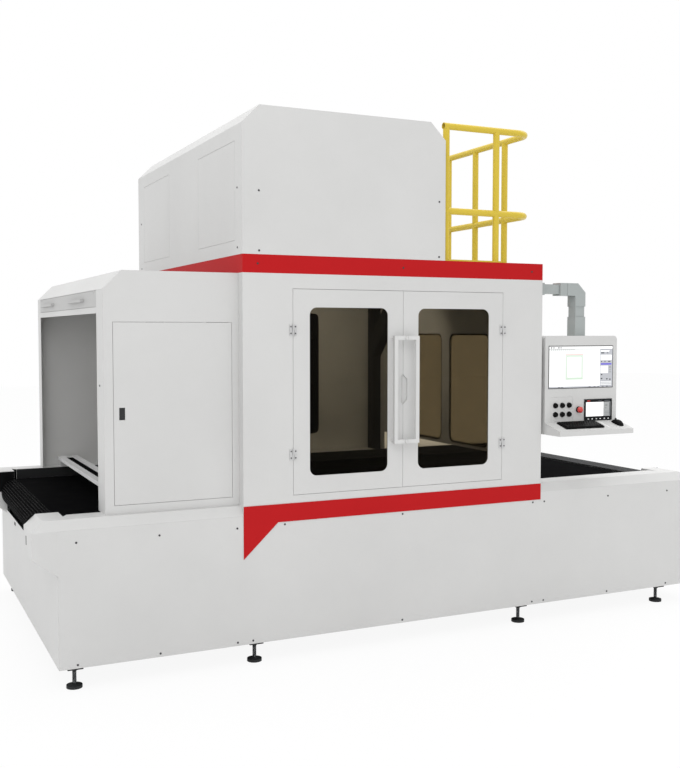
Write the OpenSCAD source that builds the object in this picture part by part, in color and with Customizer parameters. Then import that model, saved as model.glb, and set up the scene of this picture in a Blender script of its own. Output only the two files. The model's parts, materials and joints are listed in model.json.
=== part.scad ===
// Galvo laser cutting machine: a conveyor bed on levelling feet, an infeed hood, a glazed
// processing cabin with a laser housing and a guard rail on its roof, and an operator
// console on a swivelling arm. Millimetres. X runs along the conveyor, to the right as seen
// from the operator's side, Y runs to the back and Z is up. The origin is on the floor,
// at the middle of the machine's outer box.

/* [Bed] */
// Length of the bed over its four rail heads
bed_l = 4540; // [4300:10:5200]
// Depth of the bed, front to back
bed_d = 2380; // [2200:10:2600]
// Height of the bed cabinet, from its underside to the rail tops
bed_h = 800; // [760:5:860]
// Length of the bed to the left of the cabin
left_run = 1170; // [1120:10:1400]
// Width of each bed rail
rail_w = 185; // [160:5:210]
// Height of the sloping front edge of the rails
slope_h = 55; // [40:1:70]
// Width of the sloping front edge of the rails
slope_w = 42; // [30:1:60]
// Width of the rail heads at the four corners
head_w = 284; // [260:2:300]
// Length of the rail heads along the top
head_l = 185; // [160:5:220]
// Overhang of the left rail heads past the cabinet
head_over = 134; // [110:2:150]
// Height of the upright face at the tip of the left rail heads
nose_h = 141; // [120:1:160]
// Rise of the sloping underside of the left rail heads
under_rise = 101; // [80:1:110]
// Length of the full-height cover below the right rail heads
corner_l = 170; // [150:5:180]
// Thickness of the bed's sheet metal
sheet_t = 3; // [2:0.5:4]
// Depth of the folded edges of the bed panels
fold_d = 20; // [12:1:20]

/* [Feet] */
// Height of the cabinet's underside above the floor
foot_h = 120; // [100:5:160]
// Diameter of the foot pads
pad_d = 86; // [70:2:110]
// Diameter of the foot studs
stud_d = 22; // [16:1:26]
// Thickness of the threaded foot plates
foot_plate_t = 14; // [10:1:18]
// Distance of the feet from the front and the back
foot_inset = 63; // [62:1:90]

/* [Conveyor] */
// Depth of the belt's top below the rail tops
belt_drop = 55; // [45:1:75]
// Outer radius of the belt round its rollers
wrap_r = 100; // [85:1:110]
// Thickness of the belt
belt_t = 12; // [8:1:14]
// Slats round each end of the belt
wrap_slats = 18; // [10:1:22]
// Distance of the roller axes from the ends of the bed
roller_inset = 195; // [190:1:230]
// Diameter of the roller shafts
shaft_d = 40; // [30:2:50]
// Thickness of the suction table between the belt's runs
table_h = 120; // [80:5:130]

/* [Hood] */
// Length of the infeed hood
hood_l = 770; // [700:10:850]
// Setback of the hood from the front and the back of the bed
hood_set = 70; // [60:1:100]
// Sloping edge along the hood's roof, measured each way
hood_cut = 102; // [60:2:130]
// Height of the infeed opening above the rails
mouth_h = 1100; // [900:10:1120]
// Width of the hood's front jamb
jamb_front = 175; // [140:5:220]
// Width of the hood's rear jamb
jamb_rear = 115; // [115:5:180]
// Height of the fixed lintel above the infeed opening
lintel_h = 35; // [25:1:45]
// Width of the hood's side door
hood_door_w = 676; // [500:2:680]
// Height of the hood's side door
hood_door_h = 1000; // [800:10:1050]
// Distance of the hood door from the cabin
hood_door_side = 42; // [30:1:60]
// Height of the hood door above the rails
hood_door_sill = 50; // [30:1:80]
// Width of the infeed crossbeam
beam_w = 144; // [110:2:180]
// Height of the crossbeam's underside above the rails
beam_lift = 50; // [30:1:80]
// Thickness of the crossbeam
beam_t = 24; // [16:1:40]

/* [Cabin] */
// Width of the cabin
cabin_w = 2070; // [1950:10:2200]
// Height of the cabin above the rails
cabin_h = 1438; // [1400:2:1550]
// Thickness of the cabin walls
cabin_t = 6; // [5:0.5:8]
// Height of the red band round the roof
band_h = 105; // [80:1:130]
// Thickness of the red bands
band_t = 3; // [2:0.5:4]
// Height of the red band below the doors
skirt_h = 105; // [90:1:130]
// Width of the pointed tail of the lower band
tail_w = 212; // [120:2:300]
// Height of the pointed tail of the lower band
tail_h = 200; // [120:2:300]
// Height of the outfeed opening above the belt
outfeed_h = 200; // [150:10:210]

/* [Doors] */
// Width of each cabin door
door_w = 725; // [650:1:760]
// Height of the cabin doors
door_h = 1198; // [1100:2:1230]
// Thickness of the cabin doors
door_t = 30; // [24:1:40]
// Height of the doors above the rails
door_sill = 47; // [40:1:70]
// Gap round every door
door_gap = 2; // [1.5:0.1:3]
// Width of the door rim round each window
window_edge = 105; // [90:1:130]
// Corner radius of the windows
window_r = 45; // [20:1:60]
// Thickness of the window panes
glass_t = 6; // [4:0.5:8]
// Width of the windows in the rear panel
rear_window_w = 430; // [300:10:515]
// Width of the windows in the cabin's right wall
side_window_w = 502; // [300:2:560]
// Height of the windows in the cabin's right wall
side_window_h = 792; // [500:2:850]
// Depth by which the panes reach behind their openings
glass_lap = 12; // [8:1:16]
// Length of the pull handles
handle_l = 653; // [500:1:760]
// Distance of the handle bars from the gap between the doors
handle_reach = 74; // [60:1:90]
// Distance of the handles' front from the doors
handle_proud = 52; // [45:1:65]
// Width of the handle bars
bar_w = 24; // [18:1:30]
// Depth of the handle bars
bar_t = 20; // [14:1:24]
// Height of the door hinges
hinge_h = 63; // [50:1:90]
// Distance of the hinges from the doors' top and bottom
hinge_inset = 237; // [120:1:300]
// Width of each hinge leaf
leaf_w = 23; // [18:1:30]

/* [Laser housing] */
// Width of the laser housing
house_w = 1330; // [1280:10:1400]
// Depth of the laser housing
house_d = 2350; // [2300:10:2380]
// Height of the laser housing
house_h = 840; // [780:5:900]
// Sloping edges along the housing's top, measured each way
house_cut = 105; // [60:1:140]
// Width of each access panel
hatch_w = 690; // [500:5:720]
// Height of each access panel
hatch_h = 563; // [400:1:600]
// Distance of the access panels from the housing's front and back
hatch_inset = 122; // [100:1:170]
// Height of the access panels above the roof
hatch_rise = 84; // [60:1:120]
// Length of the laser tube's casing
source_l = 1100; // [900:10:1150]
// Width of the laser tube's casing
source_w = 320; // [260:10:400]
// Height of the laser tube's casing
source_h = 300; // [240:10:400]
// Distance of the casing from the housing's left wall
source_inset = 80; // [60:5:120]

/* [Guard rail] */
// Diameter of the guard rail's tubes
tube_d = 42; // [34:1:48]
// Wall of the guard rail's tubes
tube_wall = 3; // [2:0.5:4]
// Height of the top rail's centre above the roof
rail_h = 839; // [780:1:1100]
// Height of the middle rail's centre above the roof
mid_rail_h = 315; // [250:1:500]
// Distance of the guard rail from the roof's edges
rail_inset = 62; // [50:1:120]
// Bend radius of the guard rail's tubes
bend_r = 100; // [80:1:150]
// Spacing of the guard rail's posts
post_pitch = 358; // [320:1:420]

/* [Console] */
// Width of the console
console_w = 596; // [590:1:640]
// Height of the console
console_h = 573; // [560:1:620]
// Depth of the console
console_d = 150; // [130:1:190]
// Height of the console's underside above the rails
console_rise = 398; // [360:1:500]
// Clear space between the console and the cabin
console_gap = 28; // [25:1:60]
// Radius of the console's upper corners
console_r = 28; // [15:1:40]
// Reach of the keyboard tray in front of the console
tray_reach = 165; // [150:1:190]
// Height of the tray's front edge
tray_h = 32; // [28:1:45]
// Width of the monitor's screen
screen_w = 536; // [500:1:545]
// Height of the monitor's screen
screen_h = 284; // [260:1:300]
// Width of the small operating panel
hmi_w = 232; // [200:1:236]
// Height of the small operating panel
hmi_h = 145; // [120:1:150]
// Spacing of the push buttons, along X and along Z
button_pitch = [56, 60]; // [50:1:70]
// Diameter of the push buttons
button_d = 30; // [24:1:34]
// Travel of the push buttons
button_travel = 4; // [2:0.5:5]
// Diameter of the emergency stop's mushroom head
stop_d = 40; // [35:1:46]
// Travel of the emergency stop
stop_travel = 6; // [4:0.5:8]
// Width of the arm's outer sleeves
sleeve_w = 84; // [76:1:90]
// Width of the arm's tube
arm_w = 63; // [50:1:68]

/* [Hidden] */
$fn = 64;
eps = 0.02;             // overshoot of cuts
fit = 0.05;             // radial clearance of shafts and pins
slack = 0.3;            // gap between pieces that pass each other
screw_t = 3;            // height of the cover screws' heads
screw_r = 6;

// Planes of the machine
x_l = -bed_l / 2;
x_r = bed_l / 2;
y_f = -(bed_d - tray_reach + screw_t) / 2;
y_b = y_f + bed_d;
y_m = (y_f + y_b) / 2;
z_b = foot_h;
z_t = z_b + bed_h;
z_slope = z_t - slope_h;
z_belt = z_t - belt_drop;
cab_l = x_l + left_run;
cab_r = cab_l + cabin_w;
cab_m = (cab_l + cab_r) / 2;
z_roof = z_t + cabin_h;
z_band = z_roof - band_h;
z_top = z_roof + house_h;
end_l = x_l + head_over;      // left end of the cabinet's panels
end_r = x_r - corner_l;       // right end of the cabinet's panels

// Rail heads
head_cut = 62;                // sloping tip of the heads, along X
notch = [28, 50];             // cut in the rail beside each head
z_nose = z_slope - nose_h;
z_under = z_nose - under_rise;
cable_slot = [25, 50];        // slot in the tips of the left heads
end_slot = [62, 23];          // slot in the left end cover
end_slot_y = 736;             // its distance from the bed's back

// Frame
post_w = 80;
frame_gap = 2;                // between the frame and the sheet metal
brace_reach = 543;            // of the cabin's corner braces, below the head beams
brace_w = 200;                // of the braces, measured upright
weld_gap = 0.1;               // between the frame's tubes, where they are welded
brace_top = brace_reach - post_w - weld_gap;
foot_plate_w = 83;
foot_xs = [end_l + 87, cab_l + 85, cab_r - 126, end_r - 71];
pad_t = 16;
cabin_post_xs = [cab_l + cabin_t + frame_gap, cab_r - cabin_t - frame_gap - post_w];
table_arm_end = 570;          // of the outer table arms, from the bed's ends
arm_xs = [x_l + table_arm_end, foot_xs[1], foot_xs[2], x_r - table_arm_end];

// Conveyor
edge_gap = 8;                 // between the belt and the rail heads
discharge_gap = 1.5;          // between the belt's level and the plate at its right end
belt_y0 = y_f + head_w + edge_gap;
belt_y1 = y_b - head_w - edge_gap;
roller_z = z_belt - wrap_r;
roller_xs = [x_l + roller_inset, x_r - roller_inset];
drum_r = wrap_r - belt_t - slack;
bearing_w = 35;
cheek_t = 12;                 // upright plates that carry the bearings
cheek_w = 120;
cheek_y = y_f + head_w - 14 - cheek_t;
table_z = z_belt - belt_t - table_h;
table_end = roller_inset + wrap_r + 10;
guide_end = head_l + notch[0] + 2;
table_arm_t = 40;
table_arm_reach = 80;         // of the table's arms under the table
wing_t = 4;                   // thickness of the table's sheet and side shelves
cross_z = z_belt - 2 * wrap_r - 25 - post_w;
rail_wall_z = z_belt - 38;    // lower edge of the rails' inner walls

// Hood
hood_x = cab_l - hood_l;
hood_y0 = y_f + hood_set;
hood_y1 = y_b - hood_set;
mouth_y0 = hood_y0 + jamb_front;
mouth_y1 = hood_y1 - jamb_rear;
z_mouth = z_t + mouth_h;
flap_z0 = z_mouth + lintel_h;
flap_z1 = z_band - hood_cut - 2;
flap_t = 4;
hood_door_x1 = cab_l - hood_door_side;
hood_door_x0 = hood_door_x1 - hood_door_w;
hood_door_z0 = z_t + hood_door_sill;
hood_door_t = 22;
latch_size = [32, 68];
latch_x = hood_door_x0 + 46;
latch_z = hood_door_z0 + hood_door_h * 0.5;
beam_x = hood_x + 115;

// Cabin doors
door_x0 = cab_m - door_w - door_gap / 2;
door_x1 = cab_m + door_w + door_gap / 2;
door_z0 = z_t + door_sill;
door_z1 = door_z0 + door_h;
skin_t = 2.5;
ledge_xs = [cab_l + 95, cab_r - 95];
glass_w = door_w - 2 * window_edge;
glass_h = door_h - 2 * window_edge;
hinge_zs = [door_z0 + hinge_inset, door_z1 - hinge_inset];
knuckle_r = 5;
pin_r = 3;
leaf_t = 4;
hinge_y = y_f - knuckle_r;
handle_z = door_z0 + 273 + handle_l / 2;
cup = [31, 94, 63, 14];       // finger recess: half width, half height, shoulder height, depth
cap_r = 13;

// Roof equipment
house_l = cab_l;
house_r = house_l + house_w;
house_b = y_f + house_d;
hatch_ys = [y_f + hatch_inset, house_b - hatch_inset - hatch_w - 48];
hatch_z = z_roof + hatch_rise;
source_offset = 150;          // of the laser tube's casing from the scan head's axis
outlet_size = [120, 120, 160];
fin = [40, 12];               // cooling fins on the casing: width, height
fin_margin = 200;
scan = [cab_m, y_m];          // axis of the scan head
scan_hole = 240;
guide_l = 420;
guard_x0 = house_r + 20;
guard_x1 = cab_r - rail_inset;
guard_y0 = y_f + rail_inset;
guard_y1 = y_b - rail_inset;
guard_foot = [60, 12];        // flat bar under the posts

// Console
con_x0 = cab_r + console_gap;
con_x1 = con_x0 + console_w;
con_z0 = z_t + console_rise;
con_z1 = con_z0 + console_h;
con_y0 = y_f;
con_y1 = y_f + console_d;
arm_x = con_x0 + 330;         // upright axis of the console's swivel
arm_y = y_f + 102;
arm_z = con_z1 + 310;         // height of the arm's horizontal tube
flange = [64, 80];
neck_w = 74;
elbow_low = 113;              // from the arm's centre to the elbow's lower end
neck_l = 69;
swivel_r = 20;
tray_z = con_z0 + 2;          // top of the tray against the console
tray_fall = 46;               // fall of the tray towards its front
screen_x = con_x0 + 27;
screen_z = con_z0 + 223;
plate_x = con_x0 + 48;
plate_z = con_z0 + 5;
plate_size = [181, 163];
button_x = plate_x + 38;
button_z = con_z0 + 112;
stem_r = 8;
button_t = 9;
stop_x = plate_x + plate_size[0] + 47;
stop_z = con_z0 + 80;
hmi_x = con_x1 - 41 - hmi_w;
hmi_z = con_z0 + 2;

panel_paint = "#CFCFCD";
rail_paint = "#E6E6E4";
dark_paint = "#2A2B2C";
band_paint = "#B4262A";
metal = "#A9ADAE";
black = "#151515";

// ---------------------------------------------------------------- helpers

// Box between two opposite corners
module block(a, b) {
    translate(a) cube(b - a);
}

// Children and their mirror image in the machine's middle plane, or the image alone
module at_rear() {
    translate([0, y_f + y_b, 0]) mirror([0, 1, 0]) children();
}

// Outline in X and Z, extruded along Y from y0 to y1
module along_y(y0, y1) {
    translate([0, y1, 0]) rotate([90, 0, 0]) linear_extrude(y1 - y0) children();
}

// Outline in Y and Z, extruded along X from x0 to x1
module along_x(x0, x1) {
    translate([x0, 0, 0]) rotate([90, 0, 90]) linear_extrude(x1 - x0) children();
}

// Cylinder along Y from y0 to y1
module bar_y(x, z, r, y0, y1) {
    translate([x, y1, z]) rotate([90, 0, 0]) cylinder(h = y1 - y0, r = r);
}

// Upright cylinder from z0 to z1
module bar_z(x, y, r, z0, z1) {
    translate([x, y, z0]) cylinder(h = z1 - z0, r = r);
}

// Rectangle with round corners, centred on the origin
module soft_rect(w, h, r) {
    square([w, h - 2 * r], center = true);
    square([w - 2 * r, h], center = true);
    for (sx = [-1, 1], sy = [-1, 1])
        translate([sx * (w / 2 - r), sy * (h / 2 - r)]) circle(r);
}

// ---------------------------------------------------------------- bed

// Sheet metal tray that faces the front, with its edges folded back
module tray_panel(x0, x1, z0, z1) {
    difference() {
        block([x0, y_f, z0], [x1, y_f + fold_d, z1]);
        block([x0 + sheet_t, y_f + sheet_t, z0 + sheet_t],
              [x1 - sheet_t, y_f + fold_d + eps, z1 - sheet_t]);
    }
}

module bed_panel_left() tray_panel(end_l, cab_l, z_b, z_slope);
module bed_panel_center() tray_panel(cab_l, cab_r, z_b, z_slope);
module bed_panel_right() tray_panel(cab_r, end_r, z_b, z_slope);

module front_panel_left() color(panel_paint) bed_panel_left();
module front_panel_center() color(panel_paint) bed_panel_center();
module front_panel_right() color(panel_paint) bed_panel_right();

module rear_panels() color(panel_paint) at_rear() {
    bed_panel_left();
    bed_panel_center();
    bed_panel_right();
}

// Folded rail: sloping edge, flat top and inner wall
module rail_sheet(x0, x1) {
    along_x(x0, x1) translate([y_f, 0]) polygon([
        [0, z_slope], [slope_w, z_t], [rail_w, z_t], [rail_w, rail_wall_z],
        [rail_w - sheet_t, rail_wall_z], [rail_w - sheet_t, z_t - sheet_t],
        [slope_w + 1, z_t - sheet_t], [sheet_t, z_slope]
    ]);
}

// Side outline of a rail head whose tip is at x = 0, set in by t
// w: length below the cap, z_in and z_tip: lower edge at the cabinet and at the tip
module head_outline(w, z_in, z_tip, t) {
    polygon([
        [t, z_slope - t / 2], [head_cut + t / 2, z_t - t], [head_l - t, z_t - t],
        [head_l - t, z_slope + t], [w - t, z_slope + t], [w - t, z_in + t * 1.4],
        [t, z_tip + t]
    ]);
}

// Front-to-back outline of a rail head, set in by t
module head_section(t) {
    translate([y_f, 0]) polygon([
        [t, z_b - 1], [head_w - t, z_b - 1], [head_w - t, z_t - t + eps],
        [slope_w + t / 2, z_t - t + eps], [t, z_slope - t / 2]
    ]);
}

module head_solid(w, z_in, z_tip, t) {
    intersection() {
        along_y(y_f + t, y_f + head_w - t) head_outline(w, z_in, z_tip, t);
        along_x(-1, head_l + 1) head_section(t);
    }
}

// Hollow rail head with its tip at x = 0, open towards the cabinet
module rail_head(w, z_in, z_tip) {
    difference() {
        head_solid(w, z_in, z_tip, 0);
        head_solid(w, z_in, z_tip, sheet_t);
        block([w - 2 * sheet_t, y_f + sheet_t, z_in + sheet_t * 1.4],
              [w + eps, y_f + head_w - sheet_t, z_slope - sheet_t]);
    }
}

module rail_notch() {
    translate([head_l, y_f + rail_w - notch[1], z_belt - 50])
        linear_extrude(slope_h + 120)
            polygon([[0, 0], [notch[0], notch[1] + 1], [0, notch[1] + 1]]);
}

module left_rail() {
    translate([x_l, 0, 0]) difference() {
        rail_head(head_over, z_under, z_nose);
        translate([-1, y_f + 187, z_nose + 46])
            cube([sheet_t + 2, cable_slot[0], cable_slot[1]]);
    }
    difference() {
        rail_sheet(x_l + head_l - eps, cab_l);
        translate([x_l, 0, 0]) rail_notch();
    }
}

module right_rail() {
    difference() {
        translate([x_r, 0, 0]) mirror([1, 0, 0]) rail_head(corner_l, z_b, z_b);
        block([end_r - 1, y_f + sheet_t, z_b - 1], [x_r - sheet_t, y_f + head_w - sheet_t, z_b + 10]);
    }
    difference() {
        rail_sheet(cab_r, x_r - head_l + eps);
        translate([x_r, 0, 0]) mirror([1, 0, 0]) rail_notch();
    }
}

module front_left_rail() color(rail_paint) left_rail();
module front_right_rail() color(rail_paint) right_rail();
module rear_left_rail() color(rail_paint) at_rear() left_rail();
module rear_right_rail() color(rail_paint) at_rear() right_rail();

// Plate across the left end, below the belt, with a cable slot near the back
module end_cover_left() color(panel_paint) {
    z_low = z_under - sheet_t;
    z_mid = z_belt - 2 * wrap_r - 20;
    difference() {
        union() {
            block([end_l - sheet_t, y_f, z_b], [end_l, y_b, z_low]);
            block([end_l - sheet_t, y_f + head_w + 1, z_b],
                  [end_l, y_b - head_w - 1, max(z_low, z_mid)]);
        }
        translate([end_l - sheet_t - 1, y_b - end_slot_y, z_mid - 40])
            cube([sheet_t + 2, end_slot[0], end_slot[1]]);
    }
}

// Plate across the right end, folded over at the top as the belt's discharge plate
module end_cover_right() color(panel_paint) {
    y0 = y_f + head_w + slack;
    y1 = y_b - head_w - slack;
    z1 = z_belt + discharge_gap + sheet_t;
    block([x_r - sheet_t, y0, z_b], [x_r, y1, z1]);
    block([roller_xs[1] + 20, y0, z1 - sheet_t], [x_r, y1, z1]);
}

// Square tube of the frame between two opposite corners, with the weld gap left at both of
// its ends along one axis (0: X, 1: Y, 2: Z)
module tube(axis, a, b) {
    g = [for (i = [0:2]) i == axis ? weld_gap : 0];
    block(a + g, b - g);
}

// Front half of the welded frame of the bed and the cabin, with the foot plates
module frame_side() {
    y0 = y_f + fold_d + frame_gap;
    y1 = y0 + post_w;
    x0 = end_l + frame_gap;
    x1 = x_r - sheet_t - frame_gap;
    post_y = y_f + door_t + 12;
    z_rail = table_z - post_w;
    block([x0, y0, z_b], [x1, y1, z_b + post_w]);
    block([x0, y0, z_rail], [x1, y1, table_z]);
    for (x = foot_xs) {
        tube(2, [x - post_w / 2, y0, z_b + post_w], [x + post_w / 2, y1, z_rail]);
        block([x - foot_plate_w / 2, y_f + foot_inset - foot_plate_w / 2, z_b - foot_plate_t],
              [x + foot_plate_w / 2, y_f + foot_inset + foot_plate_w / 2, z_b - weld_gap]);
    }
    // posts and head beam of the cabin
    for (x = cabin_post_xs)
        tube(2, [x, post_y, table_z], [x + post_w, post_y + post_w, z_band - post_w]);
    block([cabin_post_xs[0], post_y, z_band - post_w],
          [cabin_post_xs[1] + post_w, post_y + post_w, z_band]);
    // corner braces of the cabin's sides
    for (x = cabin_post_xs)
        along_x(x, x + post_w) translate([post_y + post_w + weld_gap, z_band - brace_reach]) polygon([
            [0, 0], [0, brace_w], [brace_top - brace_w, brace_top], [brace_top, brace_top]
        ]);
    // arms that carry the suction table, inside the belt's loop
    for (x = arm_xs)
        block([x - post_w / 2, y1 + weld_gap, table_z - table_arm_t],
              [x + post_w / 2, belt_y0 + table_arm_reach, table_z]);
    // cheeks for the roller bearings, each on a bracket
    for (x = roller_xs) {
        difference() {
            block([x - cheek_w / 2, cheek_y, z_rail], [x + cheek_w / 2, cheek_y + cheek_t, roller_z + 60]);
            bar_y(x, roller_z, shaft_d / 2 + 3, cheek_y - 1, cheek_y + cheek_t + 1);
        }
        tube(1, [x - cheek_w / 2, y1, z_rail], [x + cheek_w / 2, cheek_y, z_rail + cheek_t]);
    }
}

module machine_frame() color(dark_paint) {
    y1 = y_f + fold_d + frame_gap + post_w;
    cabin_y1 = y_f + door_t + 12 + post_w;
    frame_side();
    at_rear() frame_side();
    // cross members below the belt
    for (x = foot_xs)
        tube(1, [x - post_w / 2, y1, cross_z], [x + post_w / 2, y_f + y_b - y1, cross_z + post_w]);
    // side beams of the cabin
    for (x = cabin_post_xs)
        tube(1, [x, cabin_y1, z_band - post_w], [x + post_w, y_f + y_b - cabin_y1, z_band]);
}

module levelling_feet() color(black) {
    for (x = foot_xs, y = [y_f + foot_inset, y_b - foot_inset]) {
        bar_z(x, y, pad_d / 2, 0, pad_t);
        translate([x, y, pad_t - eps])
            cylinder(h = 8, r1 = pad_d / 2 - 8, r2 = stud_d / 2 + 5);
        bar_z(x, y, stud_d / 2, pad_t, z_b - foot_plate_t);
        translate([x, y, z_b - foot_plate_t - 12]) cylinder(h = 12, r = stud_d * 0.8, $fn = 6);
    }
}

// ---------------------------------------------------------------- conveyor

// Closed outline of the belt's loop, r is the radius round the rollers
module loop(r) {
    translate([roller_xs[0], roller_z - r]) square([roller_xs[1] - roller_xs[0], 2 * r]);
    for (x = roller_xs) translate([x, roller_z]) circle(r);
}

module slat_belt() color(black) {
    groove = [4, 5];
    along_y(belt_y0, belt_y1) difference() {
        loop(wrap_r);
        loop(wrap_r - belt_t);
        for (side = [0, 1], i = [0:wrap_slats])
            translate([roller_xs[side], roller_z])
                rotate(90 + (side == 0 ? 1 : -1) * 180 * i / wrap_slats)
                    translate([wrap_r - groove[1], -groove[0] / 2]) square([groove[1] + 2, groove[0]]);
    }
}

// Drum with its shaft, reach: how far the shaft passes the rear bearing
module roller(x, reach) {
    bar_y(x, roller_z, drum_r, belt_y0 + 1, belt_y1 - 1);
    bar_y(x, roller_z, shaft_d / 2, cheek_y - bearing_w - 5,
          y_f + y_b - cheek_y + bearing_w + reach);
}

module drive_roller() color(metal) roller(roller_xs[1], 105);
module idler_roller() color(metal) roller(roller_xs[0], 5);

module bearing(x) {
    difference() {
        union() {
            bar_y(x, roller_z, shaft_d / 2 + 18, cheek_y - bearing_w, cheek_y);
            block([x - 52, cheek_y - 12, roller_z - 30], [x + 52, cheek_y, roller_z + 30]);
        }
        bar_y(x, roller_z, shaft_d / 2 + fit, cheek_y - bearing_w - 1, cheek_y + 1);
    }
}

module roller_bearings() color(metal)
    for (x = roller_xs) {
        bearing(x);
        at_rear() bearing(x);
    }

// Suction table with a shelf and an upright guide on each side
module belt_table() color(dark_paint) {
    x0 = x_l + table_end;
    x1 = x_r - table_end;
    top = table_z + table_h;
    difference() {
        block([x0, belt_y0, table_z], [x1, belt_y1, top]);
        block([x0 - 1, belt_y0 + wing_t, table_z + wing_t], [x1 + 1, belt_y1 - wing_t, top - wing_t]);
    }
    for (side = [0, 1]) translate([0, side * (y_f + y_b), 0]) mirror([0, side, 0]) {
        block([x0, y_f + rail_w + slack, top - wing_t], [x1, belt_y0 + 1, top]);
        block([x_l + guide_end, y_f + rail_w + slack, top - wing_t],
              [x_r - guide_end, y_f + rail_w + slack + wing_t, z_t - 2]);
    }
}

// Shaft-mounted gear unit with its motor, at the back of the drive roller
module gear_motor() color("#3C5A78") {
    x = roller_xs[1];
    y0 = y_f + y_b - cheek_y + bearing_w + 2;
    difference() {
        union() {
            block([x - 65, y0, roller_z - 75], [x + 65, y0 + 90, roller_z + 58]);
            translate([x - 290, y0 + 45, roller_z]) rotate([0, 90, 0]) cylinder(h = 226, r = 42);
            translate([x - 330, y0 + 45, roller_z]) rotate([0, 90, 0]) cylinder(h = 41, r = 46);
        }
        bar_y(x, roller_z, shaft_d / 2 + fit, y0 - 1, y0 + 91);
    }
    // torque arm to the bearing plate
    block([x + 53, y_f + y_b - cheek_y, roller_z - 20], [x + 60, y0 + 1, roller_z + 20]);
}

// ---------------------------------------------------------------- infeed hood

// Slotted beam across the infeed, on two blocks that stand on the rails
module infeed_beam() color(rail_paint) {
    y0 = y_f + rail_w - 45;
    y1 = y_b - rail_w + 45;
    z0 = z_t + beam_lift;
    difference() {
        block([beam_x, y0, z0], [beam_x + beam_w, y1, z0 + beam_t]);
        block([beam_x + beam_w * 0.31, y0 + 60, z0 - 1],
              [beam_x + beam_w * 0.69, y1 - 60, z0 + beam_t + 1]);
    }
    for (y = [y0, y1 - 40])
        block([beam_x + 12, y, z_t], [beam_x + beam_w - 12, y + 40, z0 + 1]);
}

// Outline of the hood in X and Z, set in by t
module hood_outline(t) {
    polygon([
        [hood_x + t, z_t - eps], [cab_l + 1, z_t - eps], [cab_l + 1, z_band - t],
        [hood_x + hood_cut + t * 0.4, z_band - t], [hood_x + t, z_band - hood_cut - t * 0.4]
    ]);
}

module hood_shell() color(panel_paint) {
    difference() {
        intersection() {
            along_y(hood_y0, hood_y1) hood_outline(0);
            block([hood_x, hood_y0, z_t], [cab_l, hood_y1, z_band]);
        }
        along_y(hood_y0 + sheet_t, hood_y1 - sheet_t) hood_outline(sheet_t);
        // mouth and flap opening
        block([hood_x - 1, mouth_y0, z_t - 1], [hood_x + sheet_t + 1, mouth_y1, z_mouth]);
        block([hood_x - 1, mouth_y0, flap_z0], [hood_x + sheet_t + 1, mouth_y1, flap_z1]);
        // side door opening
        block([hood_door_x0 - door_gap, hood_y0 - 1, hood_door_z0 - door_gap],
              [hood_door_x1 + door_gap, hood_y0 + sheet_t + 1,
               hood_door_z0 + hood_door_h + door_gap]);
    }
    // door stop and pivot tabs behind the side door
    difference() {
        block([hood_door_x0 - 20, hood_y0 + sheet_t - 0.5, hood_door_z0 - 20],
              [hood_door_x1 + 20, hood_y0 + hood_door_t + 4, hood_door_z0 + hood_door_h + 20]);
        block([hood_door_x0 - door_gap, hood_y0, hood_door_z0 - door_gap],
              [hood_door_x1 + door_gap, hood_y0 + hood_door_t + 5,
               hood_door_z0 + hood_door_h + door_gap]);
    }
    for (z = [hood_door_z0 - door_gap - 1, hood_door_z0 + hood_door_h + slack])
        bar_z(hood_hinge[0], hood_hinge[1], 4, z, z + door_gap + 1 - slack);
    bar_z(hood_hinge[0], hood_hinge[1], hood_pin_r, hood_door_z0 - door_gap, hood_door_z0 + 30);
    bar_z(hood_hinge[0], hood_hinge[1], hood_pin_r,
          hood_door_z0 + hood_door_h - 30, hood_door_z0 + hood_door_h + door_gap);
    // hinge ears of the flap
    for (y = flap_ear_ys) flap_ear(y);
}

hood_pin_r = 2.5;
hood_hinge = [hood_door_x1 - 4.5, hood_y0 + 4.5];
flap_axis = [hood_x + 5.5, flap_z1 - 8];
flap_pin_r = 2.5;
flap_knuckle_r = 5;
flap_ear_ys = [mouth_y0 + 60, mouth_y1 - 72];
flap_bar_l = 440;             // pull bars on the flap
flap_bar_ys = [515, 1542];    // their distances from the hood's front

// Ear with a fixed pin that carries the flap's knuckle
module flap_ear(y) {
    x = hood_x + flap_t + 1;
    z = z_band - hood_cut;
    along_y(y, y + 12) polygon([
        [hood_x + 1, flap_axis[1] - 5], [x + 15, flap_axis[1] - 5], [x + 15, z + 18],
        [x, z + 3], [hood_x + 1, z - 1]
    ]);
    bar_y(flap_axis[0], flap_axis[1], flap_pin_r, y - 22.5, y + 1);
}

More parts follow.
